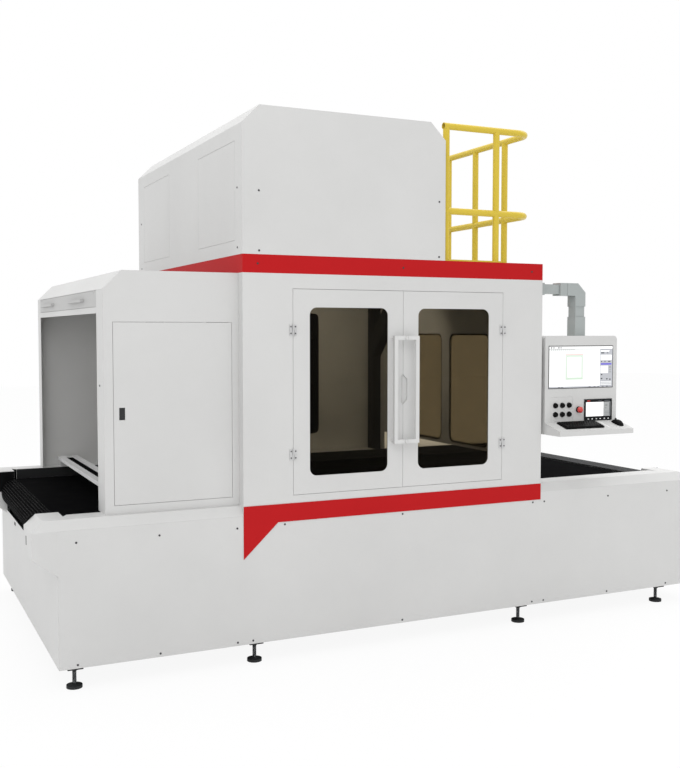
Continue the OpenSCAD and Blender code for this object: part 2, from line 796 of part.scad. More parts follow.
// Side door of the hood: a folded tray that turns on pins at its right edge
module hood_door() color(panel_paint) {
    difference() {
        union() {
            difference() {
                block([hood_door_x0, hood_y0, hood_door_z0],
                      [hood_door_x1, hood_y0 + hood_door_t, hood_door_z0 + hood_door_h]);
                block([hood_door_x0 + 2, hood_y0 + 2, hood_door_z0 + 2],
                      [hood_door_x1 - 2, hood_y0 + hood_door_t + 1, hood_door_z0 + hood_door_h - 2]);
            }
            for (z = [hood_door_z0, hood_door_z0 + hood_door_h - 32])
                block([hood_door_x1 - 20, hood_y0 + 1, z], [hood_door_x1 - 1, hood_y0 + 20, z + 32]);
            // cup for the latch
            block([latch_x - latch_size[0] / 2 - 3, hood_y0 + 1, latch_z - latch_size[1] / 2 - 3],
                  [latch_x + latch_size[0] / 2 + 3, hood_y0 + 18, latch_z + latch_size[1] / 2 + 3]);
        }
        for (z = [hood_door_z0 - 1, hood_door_z0 + hood_door_h - 33])
            bar_z(hood_hinge[0], hood_hinge[1], hood_pin_r + fit, z, z + 34);
        block([latch_x - latch_size[0] / 2, hood_y0 - 1, latch_z - latch_size[1] / 2],
              [latch_x + latch_size[0] / 2, hood_y0 + 15, latch_z + latch_size[1] / 2]);
        latch_pin(fit, 2);
    }
}

latch_axis_z = latch_z - latch_size[1] / 2 + 8;
latch_pin_r = 3;

// Pin of the latch paddle, thicker by g all round, reaching past the cup by over
module latch_pin(g, over) {
    translate([latch_x - latch_size[0] / 2 - over, hood_y0 + 7, latch_axis_z])
        rotate([0, 90, 0]) cylinder(h = latch_size[0] + 2 * over, r = latch_pin_r + g);
}

// Black paddle that tips out of its cup
module hood_latch() color(black) {
    w = latch_size[0] - 1;
    block([latch_x - w / 2, hood_y0 + 0.2, latch_axis_z],
          [latch_x + w / 2, hood_y0 + 6, latch_z + latch_size[1] / 2 - 0.5]);
    translate([latch_x - w / 2, hood_y0 + 7, latch_axis_z])
        rotate([0, 90, 0]) cylinder(h = w, r = 6);
    latch_pin(0, 1.5);
}

// Flap above the infeed, hung from its upper edge, with two pull bars
module inlet_flap() color(panel_paint) {
    y0 = mouth_y0 + door_gap;
    y1 = mouth_y1 - door_gap;
    difference() {
        block([hood_x, y0, flap_z0 + door_gap], [hood_x + flap_t, y1, flap_z1 - door_gap]);
        for (y = flap_ear_ys)
            block([hood_x - 1, y - 23, flap_axis[1] - 8], [hood_x + flap_t + 1, y + 13, flap_z1]);
    }
    for (y = flap_ear_ys)
        difference() {
            union() {
                bar_y(flap_axis[0], flap_axis[1], flap_knuckle_r, y - 22, y - 2);
                block([hood_x, y - 22, flap_axis[1] - 9], [hood_x + flap_t, y - 2, flap_axis[1]]);
            }
            bar_y(flap_axis[0], flap_axis[1], flap_pin_r + fit, y - 26, y);
        }
    for (y = flap_bar_ys) flap_bar(hood_y0 + y);
}

module flap_bar(y) {
    z = flap_z0 + 44;
    block([hood_x - 22, y, z - 8], [hood_x - 12, y + flap_bar_l, z + 8]);
    for (d = [0, flap_bar_l - 12])
        block([hood_x - 13, y + d, z - 8], [hood_x + 1, y + d + 12, z + 8]);
}

// ---------------------------------------------------------------- cabin

// Opening of the double doors, grown by g, from y0 to y1
module door_hole(g, y0, y1) {
    block([door_x0 - g, y0, door_z0 - g], [door_x1 + g, y1, door_z1 + g]);
}

module cabin_shell() color(panel_paint) {
    t = cabin_t;
    stop_y = y_f + door_t + 1;
    difference() {
        block([cab_l, y_f, z_slope], [cab_r, y_b, z_roof]);
        block([cab_l + t, y_f + t, z_slope - 1], [cab_r - t, y_b - t, z_roof - t]);
        // seat of the upper band
        difference() {
            block([cab_l - 1, y_f - 1, z_band], [cab_r + 1, y_b + 1, z_roof + 1]);
            block([cab_l + band_t, y_f + band_t, z_band - 1],
                  [cab_r - band_t, y_b - band_t, z_roof + 2]);
        }
        door_hole(door_gap, y_f - 1, y_f + t + 1);
        door_hole(door_gap, y_b - t - 1, y_b + 1);
        // way for the conveyor, the mouth in the left wall and the outfeed in the right wall
        block([cab_l - 1, y_f + rail_w, z_slope - 1], [cab_r + 1, y_b - rail_w, z_belt + 2]);
        for (side = [0, 1]) translate([0, side * (y_f + y_b), 0]) mirror([0, side, 0])
            block([cab_l - 1, y_f + rail_w, z_slope - 1], [cab_l + t + 1, y_f + rail_w + wing_t + 2, z_t]);
        block([cab_l - 1, mouth_y0, z_slope - 1], [cab_l + t + 1, mouth_y1, z_mouth]);
        block([cab_r - t - 1, y_f + rail_w, z_slope - 1], [cab_r + 1, y_b - rail_w, z_belt + outfeed_h]);
        side_window_holes(0, cab_r - t - 1, cab_r + 1);
        // scan opening in the roof
        block([scan[0] - scan_hole / 2, scan[1] - scan_hole / 2, z_roof - t - 1],
              [scan[0] + scan_hole / 2, scan[1] + scan_hole / 2, z_roof + 1]);
    }
    // ledges beside the belt, between the frame's posts
    for (side = [0, 1]) translate([0, side * (y_f + y_b), 0]) mirror([0, side, 0]) {
        block([ledge_xs[0], y_f + t - 1, z_t - sheet_t], [ledge_xs[1], y_f + rail_w, z_t]);
        block([ledge_xs[0], y_f + rail_w - sheet_t, rail_wall_z], [ledge_xs[1], y_f + rail_w, z_t]);
    }
    // folded rim and stop behind the front doors
    difference() {
        door_hole(door_gap + 12, y_f + t - 1, stop_y + 3);
        door_hole(door_gap, y_f, stop_y);
        door_hole(-12, y_f, stop_y + 4);
    }
}

// Both window openings of the right wall, grown by g, from x0 to x1
module side_window_holes(g, x0, x1) {
    for (side = [-1, 1])
        along_x(x0, x1)
            translate([y_m + side * (side_window_w / 2 + 70), z_t + 180 + side_window_h / 2])
                soft_rect(side_window_w + 2 * g, side_window_h + 2 * g, window_r + g);
}

module upper_band() color(band_paint) {
    difference() {
        block([cab_l, y_f, z_band], [cab_r, y_b, z_roof]);
        block([cab_l + band_t, y_f + band_t, z_band - 1],
              [cab_r - band_t, y_b - band_t, z_roof + 1]);
    }
}

// Band below the doors, with its pointed tail on the bed
module lower_band() color(band_paint) {
    z0 = z_t - skirt_h;
    along_y(y_f - band_t, y_f) polygon([
        [cab_l, z_t], [cab_l, z0 - tail_h], [cab_l + tail_w, z0], [cab_r, z0], [cab_r, z_t]
    ]);
}

// Window opening of a door that starts at x0, grown by g
module window_hole(x0, g, y0, y1) {
    along_y(y0, y1) translate([x0 + door_w / 2, (door_z0 + door_z1) / 2])
        soft_rect(glass_w + 2 * g, glass_h + 2 * g, window_r + g);
}

// Half of the finger recess between the doors, grown by g, on the side sx
module finger_cup(sx, g, y1) {
    z = handle_z;
    along_y(y_f - 1, y1) polygon([
        [cab_m + sx * (door_gap / 2 - 1), z + cup[1] + g],
        [cab_m + sx * (cup[0] + g), z + cup[2] + g * 0.6],
        [cab_m + sx * (cup[0] + g), z - cup[2] - g * 0.6],
        [cab_m + sx * (door_gap / 2 - 1), z - cup[1] - g]
    ]);
}

// Door leaf from x0 on: a folded tray with a window rim, sx is the side it lies on
module door_leaf(x0, sx) {
    x1 = x0 + door_w;
    difference() {
        union() {
            difference() {
                block([x0, y_f, door_z0], [x1, y_f + door_t, door_z1]);
                block([x0 + skin_t, y_f + skin_t, door_z0 + skin_t],
                      [x1 - skin_t, y_f + door_t + 1, door_z1 - skin_t]);
            }
            window_hole(x0, glass_lap + skin_t, y_f + skin_t - 0.5, y_f + door_t);
            intersection() {
                finger_cup(sx, skin_t, y_f + cup[3] + skin_t);
                block([x0, y_f, door_z0], [x1, y_f + door_t, door_z1]);
            }
        }
        window_hole(x0, 0, y_f - 1, y_f + door_t + 1);
        window_hole(x0, glass_lap, y_f + skin_t, y_f + door_t + 1);
        finger_cup(sx, 0, y_f + cup[3]);
    }
}

module left_door() color(panel_paint) door_leaf(door_x0, -1);
module right_door() color(panel_paint) door_leaf(cab_m + door_gap / 2, 1);

module pane(x0) {
    window_hole(x0, glass_lap - slack / 2, y_f + skin_t, y_f + skin_t + glass_t);
}

module left_window() color("#3B3126", 0.8) pane(door_x0);
module right_window() color("#3B3126", 0.8) pane(cab_m + door_gap / 2);

// Pull handle on the side sx: bar, two arms, standoffs and half-round caps
module pull_handle(sx) {
    y0 = y_f - handle_proud;
    y1 = y0 + bar_t;
    z0 = handle_z - handle_l / 2;
    z1 = z0 + handle_l;
    xi = cab_m + sx * door_gap / 2;
    xo = cab_m + sx * (handle_reach + bar_w / 2);
    xb = cab_m + sx * (handle_reach - bar_w / 2);
    block([min(xo, xb), y0, z0], [max(xo, xb), y1, z1]);
    for (z = [z0, z1 - bar_w]) {
        block([min(xi, xo), y0, z], [max(xi, xo), y1, z + bar_w]);
        intersection() {
            bar_y(cab_m, z + bar_w / 2, cap_r, y0 - 12, y0 + 1);
            block([min(xi, xo), y0 - 13, z], [max(xi, xo), y0 + 2, z + bar_w + 2]);
        }
        bar_y(cab_m + sx * handle_reach, z + bar_w / 2, 8, y1 - 1, y_f);
    }
}

module left_handle() color(rail_paint) pull_handle(-1);
module right_handle() color(rail_paint) pull_handle(1);

// Lower half of a hinge on the cabin: leaf, knuckle and fixed pin
module frame_leaf(x, z, sx) {
    xo = x - sx * leaf_w;
    block([min(xo, x), y_f - leaf_t, z - hinge_h / 2], [max(xo, x), y_f, z - slack]);
    bar_z(x, hinge_y, knuckle_r, z - hinge_h / 2, z - slack);
    bar_z(x, hinge_y, pin_r, z - 1, z + hinge_h / 2 - 4);
    block([min(xo, x - sx * 8), y_f - leaf_t, z - 1], [max(xo, x - sx * 8), y_f, z + hinge_h / 2]);
}

// Upper half of a hinge on a door: leaf and bored knuckle
module door_leaf_hinge(x, z, sx) {
    xo = x + sx * leaf_w;
    difference() {
        union() {
            block([min(xo, x + sx * 1.2), y_f - leaf_t, z + slack],
                  [max(xo, x + sx * 1.2), y_f, z + hinge_h / 2]);
            bar_z(x, hinge_y, knuckle_r, z + slack, z + hinge_h / 2);
            block([min(xo, x + sx * 8), y_f - leaf_t, z - hinge_h / 2],
                  [max(xo, x + sx * 8), y_f, z + 1]);
        }
        bar_z(x, hinge_y, pin_r + fit, z - 1, z + hinge_h / 2 - 3);
    }
}

hinge_xs = [door_x0 - door_gap / 2, door_x1 + door_gap / 2];

module frame_hinge_leaves() color(metal)
    for (z = hinge_zs) {
        frame_leaf(hinge_xs[0], z, 1);
        frame_leaf(hinge_xs[1], z, -1);
    }

module left_door_hinges() color(metal)
    for (z = hinge_zs) door_leaf_hinge(hinge_xs[0], z, 1);

module right_door_hinges() color(metal)
    for (z = hinge_zs) door_leaf_hinge(hinge_xs[1], z, -1);

// Both window openings of the rear panel, grown by g
module rear_window_holes(g, y0, y1) {
    for (side = [-1, 1])
        along_y(y0, y1)
            translate([cab_m + side * (rear_window_w / 2 + 52), (door_z0 + door_z1) / 2])
                soft_rect(rear_window_w + 2 * g, glass_h + 2 * g, window_r + g);
}

// Bolted panel in the rear wall, with two windows
module rear_service_panel() color(panel_paint) at_rear() {
    difference() {
        union() {
            door_hole(0, y_f, y_f + cabin_t);
            door_hole(30, y_f + cabin_t, y_f + cabin_t + 3);
        }
        rear_window_holes(0, y_f - 1, y_f + cabin_t + 4);
    }
}

// Fixed panes inside the rear panel and the right wall
module wall_windows() color("#3B3126", 0.8) {
    at_rear() rear_window_holes(glass_lap, y_f + cabin_t + 3, y_f + cabin_t + 3 + glass_t);
    side_window_holes(glass_lap, cab_r - cabin_t - glass_t, cab_r - cabin_t);
}

// ---------------------------------------------------------------- roof equipment

module house_outline(t) {
    polygon([
        [house_l + t, z_roof - eps * t], [house_r - t, z_roof - eps * t],
        [house_r - t, z_top - house_cut - t * 0.4], [house_r - house_cut - t * 0.4, z_top - t],
        [house_l + house_cut + t * 0.4, z_top - t], [house_l + t, z_top - house_cut - t * 0.4]
    ]);
}

// Access panel outline, grown by g, from x0 to x1
module hatch(y, g, x0, x1) {
    block([x0, y - g, hatch_z - g], [x1, y + hatch_w + g, hatch_z + hatch_h + g]);
}

module laser_housing() color(panel_paint) {
    t = cabin_t;
    difference() {
        along_y(y_f, house_b) house_outline(0);
        difference() {
            along_y(y_f + t, house_b - t) house_outline(t);
        }
        block([house_l + t, y_f + t, z_roof - 1], [house_r - t, house_b - t, z_roof + 1]);
        for (y = hatch_ys) {
            hatch(y, door_gap, house_l - 1, house_l + 3);
            hatch(y, -18, house_l - 1, house_l + t + 1);
        }
    }
}

module housing_access_panels() color(panel_paint)
    for (y = hatch_ys) hatch(y, 0, house_l, house_l + 3);

// Laser tube housing on the roof, with a beam outlet towards the scan head
module laser_source() color("#5A6066") {
    x0 = house_l + source_inset;
    y0 = scan[1] + source_offset;
    z1 = z_roof + source_h;
    block([x0, y0, z_roof], [x0 + source_l, y0 + source_w, z1]);
    block([x0 + 20, scan[1] - outlet_size[1] / 2, galvo_z2 - outlet_size[2] * 0.8],
          [x0 + 20 + outlet_size[0], y0 + 1, galvo_z2 + outlet_size[2] * 0.2]);
    fin_pitch = (source_l - 2 * fin_margin) / 7;
    for (i = [0:7])
        block([x0 + fin_margin + i * fin_pitch, y0 + 20, z1 - 1],
              [x0 + fin_margin + i * fin_pitch + fin[0], y0 + source_w - 20, z1 + fin[1]]);
}

// Scan head on the roof: a frame over the opening, two mirror motors and the focus guide
module galvo_block() color(metal) {
    x = scan[0];
    y = scan[1];
    z = z_roof;
    w = scan_hole / 2 + 30;
    difference() {
        union() {
            difference() {
                block([x - w, y - w, z], [x + w, y + w, z + 12]);
                block([x - w + 50, y - w + 50, z - 1], [x + w - 50, y + w - 50, z + 13]);
            }
            block([x - 80, y + 50, z + 11], [x + 80, y + 110, z + 190]);
            block([x - 110, y - 110, z + 11], [x - 70, y + 110, z + 60]);
            block([x - 100 - guide_l, y - 30, z], [x - 100, y + 30, z + 60]);
            block([x - 100, y + 40, z + 150], [x + 80, y + 60, z + 260]);
            block([x + 30, y - 60, z + 120], [x + 80, y + 60, z + 260]);
        }
        bar_y(x, galvo_z, galvo_r + fit, y + 30, y + 120);
        translate([x, y, galvo_z2]) rotate([0, 90, 0]) cylinder(h = 100, r = galvo_r + fit);
    }
}

galvo_r = 6;
galvo_z = z_roof + 110;
galvo_z2 = z_roof + 190;

// Mirror on a shaft along Y
module galvo_mirror_x() color("#C9B26A") {
    x = scan[0];
    y = scan[1];
    bar_y(x, galvo_z, galvo_r, y + 20, y + 108);
    translate([x, y - 10, galvo_z]) rotate([0, 45, 0])
        translate([-20, -30, -2]) cube([40, 62, 4]);
}

// Mirror on a shaft along X
module galvo_mirror_y() color("#C9B26A") {
    x = scan[0];
    y = scan[1];
    translate([x + 24, y, galvo_z2]) rotate([0, 90, 0]) cylinder(h = 52, r = galvo_r);
    translate([x - 6, y, galvo_z2]) rotate([45, 0, 0])
        translate([-30, -22, -2]) cube([62, 44, 4]);
}

// Carriage with the focus lens, on the scan head's guide
module focus_carriage() color("#3A3D40") {
    x = scan[0] - 100 - guide_l + 150;
    y = scan[1];
    z = z_roof + 60 + slack;
    difference() {
        block([x - 60, y - 50, z - 30], [x + 60, y + 50, z + 170]);
        block([x - 61, y - 30 - slack, z - 31], [x + 61, y + 30 + slack, z]);
        translate([x - 61, y, galvo_z2]) rotate([0, 90, 0]) cylinder(h = 122, r = 25);
    }
    translate([x - 5, y, galvo_z2]) rotate([0, 90, 0]) cylinder(h = 8, r = 25);
}

// ---------------------------------------------------------------- guard rail

// Bent tube round the roof's free side at height z
module bent_rail(z, r) {
    x0 = guard_x0;
    x1 = guard_x1 - bend_r;
    translate([x0, guard_y0, z]) rotate([0, 90, 0]) cylinder(h = x1 - x0, r = r);
    translate([x0, guard_y1, z]) rotate([0, 90, 0]) cylinder(h = x1 - x0, r = r);
    bar_y(guard_x1, z, r, guard_y0 + bend_r, guard_y1 - bend_r);
    translate([x1, guard_y0 + bend_r, z]) rotate([0, 0, 270])
        rotate_extrude(angle = 90) translate([bend_r, 0]) circle(r);
    translate([x1, guard_y1 - bend_r, z])
        rotate_extrude(angle = 90) translate([bend_r, 0]) circle(r);
}

// Flat foot bar between two opposite corners in plan
module foot_bar(a, b) {
    block([a[0], a[1], z_roof], [b[0], b[1], z_roof + guard_foot[1]]);
}

module guard_rail() color("#D6B62C") {
    r = tube_d / 2;
    w = guard_foot[0] / 2;
    post_xs = [guard_x0 + r, guard_x0 + r + post_pitch + 14];
    first_y = guard_y0 + 290;
    post_ys = [for (y = [first_y:post_pitch:guard_y1 - bend_r - r - 10]) y];
    last_y = post_ys[len(post_ys) - 1];
    difference() {
        union() {
            bent_rail(z_roof + rail_h, r);
            bent_rail(z_roof + mid_rail_h, r);
            for (x = post_xs, y = [guard_y0, guard_y1])
                bar_z(x, y, r, z_roof + guard_foot[1] - 1, z_roof + rail_h);
            for (y = post_ys)
                bar_z(guard_x1, y, r, z_roof + guard_foot[1] - 1, z_roof + rail_h);
        }
        for (y = [guard_y0, guard_y1], h = [rail_h, mid_rail_h])
            translate([guard_x0 - 1, y, z_roof + h]) rotate([0, 90, 0])
                cylinder(h = 2 * r + 40, r = r - tube_wall);
    }
    for (y = [guard_y0, guard_y1])
        foot_bar([post_xs[0] - w, y - w], [post_xs[1] + w, y + w]);
    foot_bar([guard_x1 - w, first_y - w], [guard_x1 + w, last_y + w]);
}

// ---------------------------------------------------------------- console

// Square box section centred on x and y
module post(x, y, w, z0, z1) {
    block([x - w / 2, y - w / 2, z0], [x + w / 2, y + w / 2, z1]);
}

// Arm from the cabin wall: flange, tube, sleeve, mitred elbow and swivel neck
module console_arm() color(metal) {
    s = sleeve_w / 2;
    z_low = arm_z - elbow_low;
    block([cab_r, arm_y - flange[1] / 2, arm_z - flange[1] / 2],
          [cab_r + flange[0], arm_y + flange[1] / 2, arm_z + flange[1] / 2]);
    block([cab_r + flange[0] - 1, arm_y - arm_w / 2, arm_z - arm_w / 2],
          [arm_x - s, arm_y + arm_w / 2, arm_z + arm_w / 2]);
    block([arm_x - s - 125, arm_y - s, arm_z - s], [arm_x - s - 68, arm_y + s, arm_z + s]);
    along_y(arm_y - s, arm_y + s) polygon([
        [arm_x - s - 66, arm_z - s], [arm_x - s - 66, arm_z + s], [arm_x - s + 22, arm_z + s],
        [arm_x + s, arm_z - s + 23], [arm_x + s, z_low], [arm_x - s, z_low], [arm_x - s, arm_z - s]
    ]);
    post(arm_x, arm_y, neck_w, z_low - neck_l + slack, z_low + 1);
    bar_z(arm_x, arm_y, swivel_r, z_low - neck_l - 60, z_low);
}

// Tube that turns on the arm's pin and carries the console
module console_swivel_tube() color(metal) {
    z1 = arm_z - elbow_low - neck_l;
    difference() {
        post(arm_x, arm_y, sleeve_w, con_z1, z1);
        bar_z(arm_x, arm_y, swivel_r + fit, z1 - 61, z1 + 1);
    }
}

// Front outline of the console, set in by t
module console_outline(t) {
    r = console_r - t;
    x0 = con_x0 + t;
    x1 = con_x1 - t;
    z1 = con_z1 - t;
    translate([x0, con_z0 + t]) square([x1 - x0, z1 - r - con_z0 - t]);
    translate([x0 + r, con_z0 + t]) square([x1 - x0 - 2 * r, z1 - con_z0 - t]);
    for (x = [x0 + r, x1 - r]) translate([x, z1 - r]) circle(r);
}

// Side outline of the keyboard tray, set in by t
module tray_outline(t) {
    y0 = con_y0 - tray_reach;
    translate([y0, 0]) polygon([
        [t, tray_z - tray_fall - tray_h + t], [t, tray_z - tray_fall - t],
        [tray_reach, tray_z - t], [tray_reach + 45, tray_z - t],
        [tray_reach + 45, tray_z - tray_fall - tray_h + t]
    ]);
}

function button_pos(i) = [button_x + (i % 3) * button_pitch[0],
                          button_z - floor(i / 3) * button_pitch[1]];

module console_body() color("#D3D3D1") {
    difference() {
        union() {
            difference() {
                along_y(con_y0, con_y1) console_outline(0);
                along_y(con_y0 + 3, con_y1 - 3) console_outline(3);
            }
            difference() {
                along_x(con_x0, con_x1 + 8) tray_outline(0);
                along_x(con_x0 + 3, con_x1 + 5) tray_outline(3);
            }
        }
        // openings for the monitor, the operating panel and the buttons
        block([screen_x - 0.5, con_y0 - 1, screen_z - 0.5],
              [screen_x + screen_w + 0.5, con_y0 + 4, screen_z + screen_h + 0.5]);
        block([hmi_x + 10, con_y0 - 1, hmi_z + 10], [hmi_x + hmi_w - 10, con_y0 + 4, hmi_z + hmi_h - 10]);
        block([plate_x, con_y0 - 1, plate_z],
              [plate_x + plate_size[0], con_y0 + 1.5, plate_z + plate_size[1]]);
        for (i = [0:5])
            bar_y(button_pos(i)[0], button_pos(i)[1], stem_r + fit, con_y0 - 1, con_y0 + 4);
        bar_y(stop_x, stop_z, stem_r + 3 + fit, con_y0 - 1, con_y0 + 4);
        // pen groove in the tray
        translate([con_x0 + 432, con_y0, tray_z])
            rotate([atan(tray_fall / tray_reach), 0, 0]) translate([0, -130, -1.5]) cube([10, 105, 4]);
    }
}

module monitor() color("#20242A")
    block([screen_x, con_y0 - 1, screen_z], [screen_x + screen_w, con_y0 + 40, screen_z + screen_h]);

// Operating panel: bezel, display and a row of keys
module hmi_panel() color(black) {
    block([hmi_x, con_y0 - 6, hmi_z], [hmi_x + hmi_w, con_y0, hmi_z + hmi_h]);
    block([hmi_x + 11, con_y0 - 1, hmi_z + 11], [hmi_x + hmi_w - 11, con_y0 + 45, hmi_z + hmi_h - 11]);
    for (i = [0:5])
        block([hmi_x + 20 + i * 34, con_y0 - 7.5, hmi_z + 8], [hmi_x + 40 + i * 34, con_y0 - 5, hmi_z + 16]);
}

// Push button i: cap and stem
module push_button(i) color(black) {
    p = button_pos(i);
    gap = button_travel + 0.5;
    y0 = con_y0 + 1.5 - gap;
    bar_y(p[0], p[1], button_d / 2, y0 - button_t, y0);
    bar_y(p[0], p[1], stem_r, y0 - 1, con_y0 + 20);
}

module button_1() push_button(0);
module button_2() push_button(1);
module button_3() push_button(2);
module button_4() push_button(3);
module button_5() push_button(4);
module button_6() push_button(5);

// Red mushroom head on its stem
module emergency_stop() color("#C01F1F") {
    y0 = con_y0 - stop_travel - 8;
    bar_y(stop_x, stop_z, stop_d / 2, y0 - 12, y0);
    translate([stop_x, y0 - 12 + eps, stop_z]) rotate([90, 0, 0])
        cylinder(h = 8, r1 = stop_d / 2, r2 = stop_d / 2 - 9);
    bar_y(stop_x, stop_z, stem_r + 3, y0 - 1, con_y0 + 20);
}

// Place on the sloping tray: x from the console's left side, y forward from the console's face
module on_tray(x, y) {
    translate([con_x0 + x, con_y0, tray_z]) rotate([atan(tray_fall / tray_reach), 0, 0])
        translate([0, -y, 0]) children();
}

keyboard_place = [78, 136];   // from the console's left side and its face
mouse_place = [515, 130];

module keyboard() color(black) on_tray(keyboard_place[0], keyboard_place[1]) {
    cube([312, 112, 12]);
    for (row = [0:4], i = [0:14])
        translate([7 + i * 20, 8 + row * 20, 11]) cube([17, 16, 5]);
}

module mouse() color(black) on_tray(mouse_place[0], mouse_place[1]) {
    intersection() {
        translate([31, 52, 0]) linear_extrude(34) soft_rect(62, 104, 30);
        translate([31, 58, -62]) rotate([0, 90, 0])
            translate([0, 0, -40]) cylinder(h = 80, r = 96);
    }
}

// ---------------------------------------------------------------- fasteners

// Button head on the front plane
module front_screw(x, z) bar_y(x, z, screw_r, y_f - screw_t, y_f);

// Button head on a face that looks to the left
module side_screw(x, y, z)
    translate([x - screw_t, y, z]) rotate([0, 90, 0]) cylinder(h = screw_t, r = screw_r);

panel_screw_xs = [
    [end_l + 95, (end_l + cab_l) / 2 + 28, cab_l - 38],
    [cab_l + 55, cab_m, cab_r - 60],
    [cab_r + 32, (cab_r + end_r) / 2, end_r - 38]
];

screw_row = 121;              // upper row of the bed's screws, below the rails' tops
house_rows = [21, 359];       // rows of screws on the housing's front, above the roof

module bed_screws() {
    for (row = panel_screw_xs, x = row) front_screw(x, z_b + 19);
    for (i = [0, 2], x = panel_screw_xs[i]) front_screw(x, z_t - screw_row);
    for (x = [cab_l + tail_w + 42, cab_m, cab_r - 60]) front_screw(x, z_t - screw_row);
}

module cover_screws() color(dark_paint) {
    bed_screws();
    at_rear() {
        bed_screws();
        for (x = [door_x0 + 45, cab_m, door_x1 - 45], z = [door_z0 + 40, door_z1 - 40]) front_screw(x, z);
    }
    for (x = [house_l + 101, house_r - 44], h = house_rows) front_screw(x, z_roof + h);
    for (x = [cab_l + 92, cab_m, cab_r - 85]) front_screw(x, z_band + band_h / 2);
    for (y = [y_f + 81, house_b - 90], h = house_rows) side_screw(house_l, y, z_roof + h + 20);
}

// ---------------------------------------------------------------- assembly

machine_frame();
front_panel_left();
front_panel_center();
front_panel_right();
rear_panels();
front_left_rail();
front_right_rail();
rear_left_rail();
rear_right_rail();
end_cover_left();
end_cover_right();
levelling_feet();
slat_belt();
drive_roller();
idler_roller();
roller_bearings();
belt_table();
gear_motor();
infeed_beam();
hood_shell();
hood_door();
hood_latch();
inlet_flap();
cabin_shell();
upper_band();
lower_band();
left_door();
right_door();
left_window();
right_window();
left_handle();
right_handle();
frame_hinge_leaves();
left_door_hinges();
right_door_hinges();
rear_service_panel();
wall_windows();
laser_housing();
housing_access_panels();
laser_source();
focus_carriage();
galvo_block();
galvo_mirror_x();
galvo_mirror_y();
guard_rail();
console_arm();
console_swivel_tube();
console_body();
monitor();
hmi_panel();
button_1();
button_2();
button_3();
button_4();
button_5();
button_6();
emergency_stop();
keyboard();
mouse();
cover_screws();
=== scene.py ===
"""Looks of the laser cutting machine: its finishes, small trim, light and camera."""

import json
import math

import bmesh
import bpy
from mathutils import Matrix, Vector


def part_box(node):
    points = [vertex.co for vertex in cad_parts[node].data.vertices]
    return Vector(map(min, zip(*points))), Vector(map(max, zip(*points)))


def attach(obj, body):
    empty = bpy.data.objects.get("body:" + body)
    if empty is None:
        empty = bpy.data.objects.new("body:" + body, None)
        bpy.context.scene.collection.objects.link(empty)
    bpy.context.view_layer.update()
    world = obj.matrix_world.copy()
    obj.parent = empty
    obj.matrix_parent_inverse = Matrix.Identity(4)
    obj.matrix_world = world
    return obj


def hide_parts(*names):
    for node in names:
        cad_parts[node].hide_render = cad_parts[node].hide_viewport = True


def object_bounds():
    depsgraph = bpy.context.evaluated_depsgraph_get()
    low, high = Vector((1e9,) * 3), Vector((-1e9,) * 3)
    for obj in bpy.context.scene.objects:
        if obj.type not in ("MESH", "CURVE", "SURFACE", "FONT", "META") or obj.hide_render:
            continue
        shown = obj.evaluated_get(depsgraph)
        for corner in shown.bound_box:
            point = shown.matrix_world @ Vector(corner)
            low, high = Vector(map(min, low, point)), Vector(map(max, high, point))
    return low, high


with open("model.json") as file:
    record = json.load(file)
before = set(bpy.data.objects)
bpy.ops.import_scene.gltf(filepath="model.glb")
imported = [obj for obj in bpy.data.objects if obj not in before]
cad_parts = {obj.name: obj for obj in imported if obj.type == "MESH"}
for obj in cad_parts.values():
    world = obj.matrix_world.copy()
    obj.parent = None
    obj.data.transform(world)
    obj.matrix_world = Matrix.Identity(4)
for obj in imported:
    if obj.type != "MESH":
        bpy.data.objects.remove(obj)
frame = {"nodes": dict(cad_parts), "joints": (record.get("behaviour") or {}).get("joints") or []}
cad_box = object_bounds()

MM = 0.001
SHARP = math.radians(35)  # edges that bend more stay sharp on smooth pieces
FRONT = (0, -1, 0)
LEFT = (-1, 0, 0)


def islands(node):
    """Boxes of the separate solids in a CAD node, as (lowest, highest) corners."""
    mesh = frame["nodes"][node].data
    keys = [tuple(round(c, 5) for c in v.co) for v in mesh.vertices]
    parent = {}

    def root(k):
        while parent.setdefault(k, k) != k:
            parent[k] = parent[parent[k]]
            k = parent[k]
        return k

    for edge in mesh.edges:
        a, b = (root(keys[i]) for i in edge.vertices)
        parent[a] = b
    groups = {}
    for key in set(keys):
        groups.setdefault(root(key), []).append(key)
    boxes = []
    for points in groups.values():
        low = Vector([min(p[i] for p in points) for i in range(3)])
        high = Vector([max(p[i] for p in points) for i in range(3)])
        boxes.append((low, high))
    return sorted(boxes, key=lambda box: tuple(round(c, 4) for c in box[0]))


# ---------------------------------------------------------------- node trees


class Nodes:
    """A node tree being filled: each method adds nodes and returns the socket that carries the result."""

    def __init__(self, tree, output):
        self.tree = tree
        self.tree.nodes.clear()
        self.output = self.node(output)

    def feed(self, socket, value):
        """Links value into socket, or sets it there where it is a plain one."""
        if isinstance(value, bpy.types.NodeSocket):
            self.tree.links.new(value, socket)
        else:
            socket.default_value = value

    def node(self, kind, inputs=None, **settings):
        """Adds one node and returns the node itself."""
        made = self.tree.nodes.new(kind)
        for name, value in settings.items():
            setattr(made, name, value)
        for name, value in (inputs or {}).items():
            self.feed(made.inputs[name], value)
        return made

    def math(self, operation, a, b):
        return self.node("ShaderNodeMath", {0: a, 1: b}, operation=operation).outputs[0]

    def blend(self, share, first, second):
        """Shader that is first where share is 0, second where it is 1."""
        return self.node("ShaderNodeMixShader", {0: share, 1: first, 2: second}).outputs[0]

    def end(self, shader):
        """Ends the tree with a shader."""
        self.feed(self.output.inputs["Surface"], shader)


FINISHES = {}  # every finish by its name


